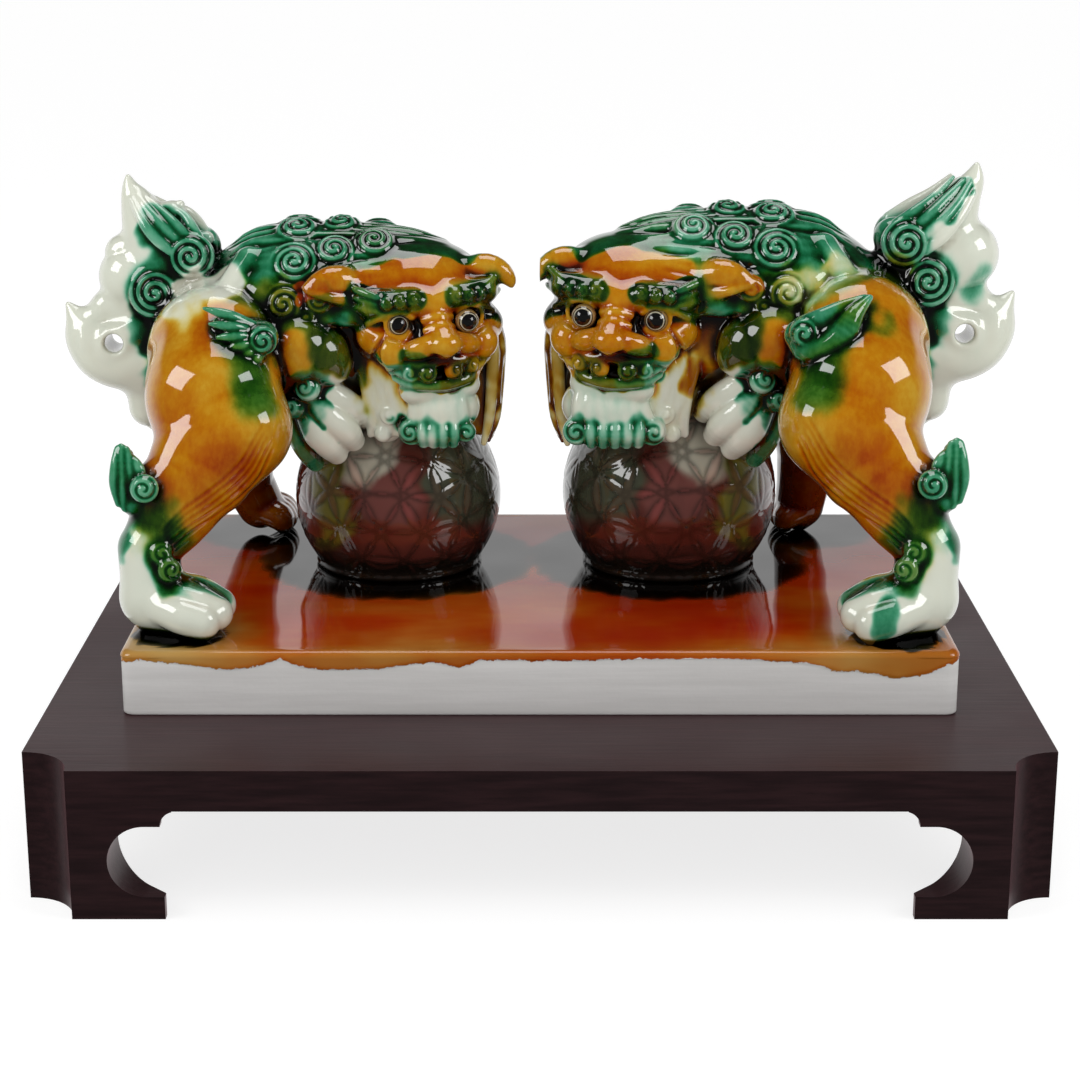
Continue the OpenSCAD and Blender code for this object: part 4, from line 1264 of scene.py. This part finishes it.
# the fired white body, and how strongly a unit of each glaze takes up red, green and blue
BODY_WHITE = (0.65, 0.67, 0.57)
AMBER_TAKES = (0.33, 1.16, 4.4)
RUST_TAKES = (0.14, 1.7, 3.8)
GREEN_TAKES = (3.3, 1.25, 1.8)
BLACK_TAKES = (2.6, 2.9, 3.2)


def through_glaze(n, amber, green, black, thick, amber_takes=AMBER_TAKES):
    """Colour of the white body seen through the three glazes."""
    channels = []
    for white, a, g, k in zip(BODY_WHITE, amber_takes, GREEN_TAKES, BLACK_TAKES):
        taken = n.plus(n.times(amber, a), n.times(green, g))
        taken = n.times(taken, thick)
        taken = n.plus(taken, n.times(black, k))
        channels.append(n.times(n.math("POWER", math.e, n.times(taken, -1.0)), white))
    return n.add("ShaderNodeCombineColor", {0: channels[0], 1: channels[1], 2: channels[2]})


def glossy(n):
    n.set(Roughness=0.07, IOR=1.55, Coat_Weight=1.0, Coat_Roughness=0.02, Specular_IOR_Level=0.5)


def glazed_clay():
    """Amber, green and black glaze: thin on the crests, thick in the hollows and dark in the creases."""
    n = new_material("glazed_clay")
    glaze = n.parts("glaze")
    relief, hollow, _ = n.parts("form")
    runs = n.noise(75, 4, (1, 1, 0.45), 0.6)
    blotch = n.noise(38, 3, (1, 1, 0.7), 0.5, (3, 1, 2))
    fine = n.noise(420, 3, (1, 1, 0.6), 0.6)
    ragged = n.times(n.minus(runs, 0.5), 0.8)
    amounts = []
    for i in range(2):
        uneven = ragged if i == 0 else n.times(ragged, -1.0)
        edge = n.smooth(n.plus(glaze[i], uneven), -0.02, 0.6)
        spread = n.smooth(blotch, 0.3, 0.7, 0.75, 1.3)
        amounts.append(n.times(n.times(glaze[i], edge), spread))
    thick = n.times(n.smooth(hollow, -0.12, 0.1, 1.5, 0.9), n.smooth(fine, 0.3, 0.7, 0.9, 1.1))
    amounts[0] = n.times(amounts[0], n.smooth(relief, -0.6, 0.5, 1.5, 0.85))
    amounts[1] = n.times(amounts[1], n.smooth(relief, -0.55, 0.55, 2.3, 0.65))
    crease = n.smooth(hollow, -0.07, -0.24, 0.0, 1.4)
    groove = n.smooth(relief, -0.3, -1.2, 0.0, 0.55)
    tinted = n.plus(n.plus(amounts[0], amounts[1]), 0.14, True)
    black = n.plus(n.times(n.plus(crease, groove), tinted), glaze[2])
    n.set(Base_Color=through_glaze(n, amounts[0], amounts[1], black, thick))
    glossy(n)
    n.bump(n.noise(60, 2), 0.0005, 0.3)
    return n.owner


def ball_glaze():
    """Maroon glaze with olive, grey green and pale washes, dark in the incised lines."""
    n = new_material("ball_glaze")
    line, _, petal = n.parts("glaze")
    low, rose, _ = n.parts("form")
    olive, grey, pale = n.parts("wash")
    drift = n.times(n.minus(n.noise(55, 4, (1, 1, 0.5), 0.6), 0.5), 1.3)

    def amount(value):
        return n.smooth(n.plus(value, n.times(drift, 0.5)), 0.2, 0.75)

    colour = n.mix(n.smooth(n.noise(30, 3), 0.35, 0.65), (0.075, 0.016, 0.011), (0.13, 0.028, 0.020))
    colour = n.mix(n.times(amount(rose), 0.8), colour, (0.19, 0.062, 0.052))
    colour = n.mix(amount(grey), colour, (0.062, 0.070, 0.043))
    colour = n.mix(n.times(amount(olive), 0.95), colour, (0.16, 0.15, 0.016))
    colour = n.mix(amount(pale), colour, (0.46, 0.43, 0.34))
    paleness = amount(pale)
    rosy = n.mix(amount(rose), (0.10, 0.024, 0.018), (0.22, 0.050, 0.046))
    bloom = n.mix(paleness, rosy, (0.40, 0.25, 0.20))
    colour = n.mix(n.times(petal, n.smooth(amount(grey), 0.0, 1.0, 0.6, 0.25)), colour, bloom)
    dark = n.plus(n.times(line, 0.46), n.smooth(drift, 0.1, 0.5, 0.0, 0.25))
    dark = n.plus(dark, n.times(low, 1.2))
    dark = n.plus(dark, n.smooth(petal, 0.0, 1.0, 0.24, 0.0))
    dark = n.times(dark, 0.97, True)
    colour = n.mix(dark, colour, (0.010, 0.006, 0.004))
    n.set(Base_Color=colour)
    glossy(n)
    n.bump(n.noise(45, 2), 0.0006, 0.35)
    return n.owner


def eye_glaze():
    """Black pupil, ivory ring, dark band and honey edge, by distance from the eye's axis. The honey edge is
    partly a painted highlight where the rim catches the light.
    """
    n = new_material("eye_glaze")
    off_axis = n.parts("glaze")[0]
    wobble = n.times(n.minus(n.noise(900, 2), 0.5), 0.05)
    ramp = n.add("ShaderNodeValToRGB", {0: n.plus(off_axis, wobble)})
    bands = ramp.color_ramp
    # the honey stop just inside the rim is lightened partly as a painted highlight
    pupil, ivory, shade = (0.004, 0.004, 0.004), (0.42, 0.39, 0.29), (0.03, 0.014, 0.006)
    stops = ((0.0, pupil), (0.64, pupil), (0.675, ivory), (0.725, ivory), (0.755, shade), (0.81, shade),
             (0.85, (0.30, 0.19, 0.07)), (1.0, (0.10, 0.04, 0.01)))
    while len(bands.elements) < len(stops):
        bands.elements.new(0.5)
    for element, (at, colour) in zip(bands.elements, stops):
        element.position = at
        element.color = (*colour, 1)
    n.set(Base_Color=ramp)
    glossy(n)
    n.bump(n.noise(300, 2), 0.0001, 0.2)
    return n.owner


def lacquered_wood():
    """Dark lacquer over a fine grain along the stand."""
    n = new_material("lacquered_wood")
    grain = n.noise(26, 5, (1, 14, 14), 0.6)
    pores = n.noise(240, 2, (1, 9, 9), 0.6)
    colour = n.mix(n.smooth(grain, 0.3, 0.75), (0.010, 0.0045, 0.0052), (0.022, 0.0085, 0.0096))
    colour = n.mix(n.smooth(pores, 0.62, 0.8, 0.0, 0.5), colour, (0.006, 0.003, 0.0035))
    n.set(Base_Color=colour, Roughness=n.smooth(n.noise(14, 3), 0.3, 0.7, 0.3, 0.4), IOR=1.28,
          Sheen_Weight=0.18, Sheen_Roughness=0.4, Sheen_Tint=(1.0, 0.5, 0.55, 1))
    n.bump(n.plus(grain, n.times(pores, 0.3)), 0.0002, 0.3)
    return n.owner


def slab_glaze():
    """Amber and rust glaze with dark pools on the top, ending in a bead over the bare white sides."""
    n = new_material("slab_glaze")
    amber, green, black = n.parts("glaze")
    over, thick, _ = n.parts("form")
    ragged = n.times(n.minus(n.noise(210, 5, (1, 1, 1), 0.7), 0.5), 5.0)
    glazed = n.smooth(n.plus(over, ragged), -0.12, 0.12)
    streak = n.noise(30, 3, (0.4, 1, 1), 0.55)
    cloud = n.noise(13, 3, (1, 1, 1), 0.5, (2, 5, 1))
    amber = n.times(amber, n.smooth(streak, 0.25, 0.75, 0.72, 1.3))
    amber = n.times(amber, n.smooth(cloud, 0.3, 0.7, 0.8, 1.25))
    colour = through_glaze(n, amber, n.times(green, n.smooth(cloud, 0.3, 0.7, 0.7, 1.2)), black, thick,
                           RUST_TAKES)
    brushed = n.noise(60, 5, (0.12, 0.12, 2.2), 0.7)
    bisque = n.mix(n.smooth(brushed, 0.3, 0.7), (0.60, 0.585, 0.57), (0.70, 0.685, 0.67))
    n.set(Base_Color=n.mix(glazed, bisque, colour), Roughness=n.smooth(glazed, 0.0, 1.0, 0.78, 0.07),
          IOR=1.55, Specular_IOR_Level=0.6)
    wavy = n.times(n.noise(17, 1.5, (1, 1, 1), 0.5), glazed)
    grit = n.times(n.noise(500, 3), n.smooth(glazed, 0.0, 1.0, 0.12, 0.0))
    n.bump(n.plus(wavy, grit), 0.0014, 0.35)
    return n.owner


def paper_floor():
    """A white sheet of paper that glows as painted light, a little brighter further away from the statue, so
    that shadows on it stay light.
    """
    n = new_material("floor_paper")
    place = n.add("ShaderNodeTexCoord").outputs["Object"]
    away = n.add("ShaderNodeVectorMath", {0: place}, operation="LENGTH").outputs["Value"]
    n.set(Base_Color=(0.35, 0.35, 0.35, 1), Roughness=0.9, Specular_IOR_Level=0.0,
          Emission_Color=(1, 1, 1, 1), Emission_Strength=n.smooth(away, 0.25, 0.9, 0.78, 0.88))
    return n.owner


# ---------------------------------------------------------------- scene

def eye_mesh(lion, name, material):
    """An eyeball that bulges at the pupil. Its attribute is how far each point is off its axis."""
    lo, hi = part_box(name)
    centre = (lo + hi) / 2
    radius = (hi.x - lo.x) / 2
    out = lion.out * (-1, 1, 1) if lion.right else lion.out
    gaze = Vector(unit(out + vec((0, 0, 0.06))))
    turn = np.array(gaze.to_track_quat("Z", "Y").to_matrix())
    rings, around = 40, 48
    points, faces, off_axis = [], [], []
    for i in range(rings + 1):
        angle = math.pi * i / rings
        for j in range(around):
            spin = 2 * math.pi * j / around
            bulge = 0.05 * smooth(1.25 - math.sin(angle) / 0.5) if angle < math.pi / 2 else 0.0
            r = 1 + bulge
            ring = r * math.sin(angle)
            points.append((ring * math.cos(spin), ring * math.sin(spin), r * math.cos(angle)))
            off_axis.append((math.sin(angle) if angle < math.pi / 2 else 1.0, 0, 0))
            if i < rings:
                a, b = i * around + j, i * around + (j + 1) % around
                faces.append((a, a + around, b + around, b))
    points = vec(points) @ turn.T * radius + vec(centre)
    obj = make_mesh(name + "_ball", points, np.array(faces), {"glaze": vec(off_axis)}, False)
    weld(obj, 1e-6)
    stand_in(obj, name, material)


def weld(obj, distance):
    """Merges points that lie together, such as those at a pole."""
    bm = bmesh.new()
    bm.from_mesh(obj.data)
    bmesh.ops.remove_doubles(bm, verts=bm.verts, dist=distance)
    bmesh.ops.recalc_face_normals(bm, faces=bm.faces)
    bm.to_mesh(obj.data)
    bm.free()


def rounded_rectangle(half_x, half_y, r, step):
    """Points in order round a rounded rectangle, starting on its right side."""
    corners = ((half_x, half_y, 0), (-half_x, half_y, 90), (-half_x, -half_y, 180), (half_x, -half_y, 270))
    arc = []
    for x, y, start in corners:
        for turn in np.linspace(0, 90, 7):
            a = math.radians(start + turn)
            arc.append((x - math.copysign(r, x) + r * math.cos(a),
                        y - math.copysign(r, y) + r * math.sin(a)))
    arc.append(arc[0])
    points = []
    for a, b in zip(arc[:-1], arc[1:]):
        count = max(1, round(math.dist(a, b) / step))
        points += between(a, b, count + 1)[:-1]
    return np.array(points)


def loft(rows):
    """Faces between rows of points, each row a closed loop of the same count."""
    count = len(rows[0])
    points = np.vstack(rows)
    faces = []
    for i in range(len(rows) - 1):
        a = i * count + np.arange(count)
        b = i * count + (np.arange(count) + 1) % count
        faces.append(np.stack([a, b, b + count, a + count], axis=1))
    return points, np.vstack(faces)


# how far the glaze runs down the slab's front: a place along it and a depth, mm
RUNS = [(-169, 5), (-160, 3.2), (-139, 5.5), (-125, 7.5), (-113, 6), (-104, 2.5), (-97, 6), (-86, 7.5),
        (-64, 7), (-44, 4), (-32, 6.5), (-24, 3.2), (-8, 3.4), (16, 3.6), (28, 2.9), (78, 2.8), (100, 4),
        (112, 6), (121, 8.5), (126, 7.6), (143, 11), (155, 9), (164, 5), (169, 3)]


def overrun(x, y, half_y):
    """How far the glaze runs down the slab's side at a place on its outline, mm."""
    front = np.interp(x, *zip(*RUNS))
    other = 4 + 2.2 * np.sin(0.11 * x + 0.07 * y) + 1.6 * np.sin(0.23 * y - 0.05 * x + 1)
    other = other + 0.8 * np.sin(0.61 * (x + y))
    return np.where(y < -half_y + 4, front, other)


def slab_mesh(lions, material):
    """The slab: hollow and ribbed below, with bare sides and a glaze that runs a little way over them."""
    lo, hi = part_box("slab")
    half_x, half_y, high = (hi.x - lo.x) / 2 / MM, (hi.y - lo.y) / 2 / MM, (hi.z - lo.z) / MM
    wall, rib, corner = 8.0, 8.0, 5.0           # thickness of the walls and ribs, and radius of the corners
    edge, foot = 2.6, 1.0                       # rounding of the top and bottom edges
    skin = 0.45                                 # how far the glaze stands proud
    bead = 0.6 * skin
    outline = rounded_rectangle(half_x - skin, half_y - skin, corner, 1.8)
    run = overrun(outline[:, 0], outline[:, 1], half_y)

    def row(inset, z):
        scale = vec(((half_x - inset) / half_x, (half_y - inset) / half_y))
        return np.column_stack([outline * scale, np.full(len(outline), z)])

    def cavity(half_a, half_b, z):
        flat = np.clip(outline * 1.2, (-half_a, -half_b), (half_a, half_b))
        return np.column_stack([flat, np.full(len(outline), z)])

    rows = [cavity(1e-3, 1e-3, high - wall)]
    rows += [cavity((half_x - wall) * t, (half_y - wall) * t, high - wall) for t in (0.25, 0.5, 0.75, 1.0)]
    rows += [cavity(half_x - wall, half_y - wall, (high - wall) * t) for t in (0.75, 0.5, 0.25, 0.0)]
    rows += [row(foot + 2, 0.0)]
    for t in np.linspace(0, math.pi / 2, 4):
        rows.append(row(foot * (1 - math.sin(t)), foot * (1 - math.cos(t))))
    rows += [row(0, z) for z in np.linspace(2.5, 11.5, 5)]
    for z in np.arange(12.2, high - edge, 0.45):
        loop = row(0, z)
        over = run - (high - z)
        proud = skin * smooth(over / 0.7 + 0.5) * (1 + 0.6 * np.exp(-(over / 0.9) ** 2))
        away = outline / (half_x, half_y)
        away = away * (np.abs(away) > 0.9)
        loop[:, :2] += away / np.maximum(np.linalg.norm(away, axis=1), 1e-6)[:, None] * proud[:, None] * 0.6
        rows.append(loop)
    for t in np.linspace(0, math.pi / 2, 8):
        rows.append(row(edge * (1 - math.cos(t)) - bead * math.cos(t), high - edge * (1 - math.sin(t))))
    steps = 43
    for i in range(1, steps):
        loop = row(edge + (half_y - edge) * (i / steps), high)
        loop[:, 2] -= 0.10 + 0.08 * np.sin(0.13 * loop[:, 0] + 0.7) * np.sin(0.11 * loop[:, 1])
        rows.append(loop)
    last = row(half_y, high)
    last[:, 1] = 0
    last[:, 2] -= 0.1
    rows.append(last)
    points, faces = loft(rows)
    for side in (-1, 1):
        at = side * (half_x - wall) / 3
        box, box_faces = rib_box(at, rib / 2, half_y - wall + 1, 0.4, high - wall + 1)
        faces = np.vstack([faces, box_faces + len(points)])
        points = np.vstack([points, box])
    glaze, form = slab_paint(lions, points, half_x, half_y, high)
    world = points * MM + vec(((lo.x + hi.x) / 2, (lo.y + hi.y) / 2, lo.z))
    obj = make_mesh("slab_glazed", world, faces, {"glaze": glaze, "form": form}, False)
    weld(obj, 2e-6)
    stand_in(obj, "slab", material)


def rib_box(x, half_x, half_y, low, high):
    """The corners and faces of one rib below the slab."""
    corners = [(x + sx * half_x, sy * half_y, z) for z in (low, high) for sy in (-1, 1) for sx in (-1, 1)]
    faces = [(0, 2, 3, 1), (4, 5, 7, 6), (0, 1, 5, 4), (2, 6, 7, 3), (0, 4, 6, 2), (1, 3, 7, 5)]
    return vec(corners), np.array(faces)


# dark glaze round what stands on the slab: radius of the thing, width of the dark and of its halo, mm
BALL_POOL = (25, 30, 9)
FOOT_POOLS = [((-147, -80, 0), 15.5, 2.0, 24), ((-128, 74, 0), 12, 12, 12), ((-74, 85, 0), 12, 12, 12)]


def slab_paint(lions, points, half_x, half_y, high):
    """Glaze amounts on the slab, and how far inside the glaze each point is."""
    x, y, z = points.T
    over = z - (high - overrun(x, y, half_y))
    inland = (np.abs(x) < half_x - 3.5) & (np.abs(y) < half_y - 3.5)
    over = np.where(inland, np.where(z > high - 2, 9.0, -9.0), over)
    wave = 3 * np.sin(0.06 * x + 1) + 2 * np.sin(0.17 * x) + 1.5 * np.sin(0.41 * x + 2)
    front = smooth(1 - (y + half_y - 3 + wave) / 34)
    edge = smooth(1 - (np.minimum(half_x - np.abs(x), half_y - np.abs(y)) + 0.3 * wave) / 10)
    amber = 1.68 + 0.3 * smooth((y + 10) / 90) - 0.55 * front
    amber = amber * (1 - edge) + 0.85 * edge
    green = 0.12 * np.ones_like(x)
    black = 0.16 * smooth((y - 5) / 70)
    glaze = np.stack([amber, green, black], axis=1)
    for lion in lions:
        for centre, r, dark, halo in [(lion.ball_at, *BALL_POOL), *FOOT_POOLS]:
            at = lion.world([centre])[0] / MM
            gap = np.hypot(x - at[0], y - at[1]) - r * lion.scale
            gap = gap + 1.2 * np.sin(0.2 * x + 0.13 * y) + 0.8 * np.sin(0.5 * x - 0.3 * y)
            outer = smooth(1 - (gap - dark) / halo)[:, None]
            inner = smooth(1 - (gap - dark * 0.6) / (dark * 0.4 + 2))[:, None]
            rim = (0.7, 0.14, 0.0) if centre[1] < -50 else (1.7, 1.1, 0.7)
            glaze = glaze * (1 - outer) + vec(rim) * outer
            glaze = glaze * (1 - inner) + vec((1.6, 1.1, 1.9)) * inner
    thick = 1.0 + 0.25 * np.exp(-((over - 0.6) / 0.8) ** 2)
    return glaze, np.stack([over, thick, 0 * x], axis=1)


def soften_edges(obj):
    """Rounds the wooden piece's sharp edges a little, so that they catch the light."""
    bevel = obj.modifiers.new("soft_edges", "BEVEL")
    bevel.width = 0.9 * MM
    bevel.segments = 3
    bevel.limit_method = "ANGLE"
    bevel.angle_limit = math.radians(50)
    bevel.harden_normals = False


def main():
    clay = glazed_clay()
    eye = eye_glaze()
    brocade = ball_glaze()
    wood = lacquered_wood()
    lions = []
    for side in ("left", "right"):
        lion = build_lion(side, clay)
        lions.append(lion)
        ball_mesh(lion, brocade)
        for name in (side + "_near_eye", side + "_far_eye"):
            eye_mesh(lion, name, eye)
    slab_mesh(lions, slab_glaze())
    for name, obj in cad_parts.items():
        if name.startswith(("stand_", "foot_")):
            obj.data.materials.clear()
            obj.data.materials.append(wood)
            soften_edges(obj)
    stage_and_light()


def area(name, at, to, size, radiance):
    """A soft box of the given radiance."""
    light = bpy.data.lights.new(name, "AREA")
    light.shape = "RECTANGLE"
    light.size, light.size_y = size
    light.energy = radiance * math.pi * size[0] * size[1]
    obj = bpy.data.objects.new(name, light)
    obj.location = at
    obj.rotation_euler = (Vector(to) - Vector(at)).to_track_quat("-Z", "Y").to_euler()
    bpy.context.scene.collection.objects.link(obj)


def studio_world():
    """A dark studio, pale round the horizon behind the statue."""
    n = Nodes(bpy.data.worlds.new("studio"))
    way = n.add("ShaderNodeSeparateXYZ", {0: n.add("ShaderNodeTexCoord").outputs["Generated"]})
    band = n.smooth(way.outputs[2], 0.3, 0.48, 1.0, 0.0)
    behind = n.smooth(way.outputs[1], -0.1, 0.6, 0.03, 0.8)
    n.feed(n.shader.inputs[0], n.plus(n.times(band, behind), 0.03))
    return n.owner


def stage_and_light():
    """A sheet of paper, an overhead soft box, a window on either side, and the photograph's camera."""
    scene = bpy.context.scene
    size = 40.0
    mesh = bpy.data.meshes.new("floor")
    corners = [(-size, -size, 0), (size, -size, 0), (size, size, 0), (-size, size, 0)]
    mesh.from_pydata(corners, [], [(0, 1, 2, 3)])
    floor = bpy.data.objects.new("floor", mesh)
    scene.collection.objects.link(floor)
    floor.data.materials.append(paper_floor())
    floor.visible_glossy = False
    scene.world = studio_world()
    area("overhead", (0.0, 0.16, 1.2), (0, 0.05, 0.15), (0.6, 0.66), 2.7)
    for name, side in (("window_left", -1), ("window_right", 1)):
        area(name, (0.80 * side, -0.40, 0.70), (0, 0, 0.15), (0.5, 0.46), 4.6)
    sun = bpy.data.lights.new("fill", "SUN")
    sun.energy = 1.35
    sun.angle = math.radians(70)
    fill = bpy.data.objects.new("fill", sun)
    fill.rotation_euler = (math.radians(58), 0, 0)
    fill.visible_glossy = False
    scene.collection.objects.link(fill)
    camera = bpy.data.cameras.new("camera")
    camera.lens = 80
    camera.sensor_width = 36
    obj = bpy.data.objects.new("camera", camera)
    obj.location = CAMERA_AT
    obj.rotation_euler = (math.radians(90 - CAMERA_DOWN), 0, 0)
    scene.collection.objects.link(obj)
    scene.camera = obj
    scene.view_settings.view_transform = "Standard"


main()
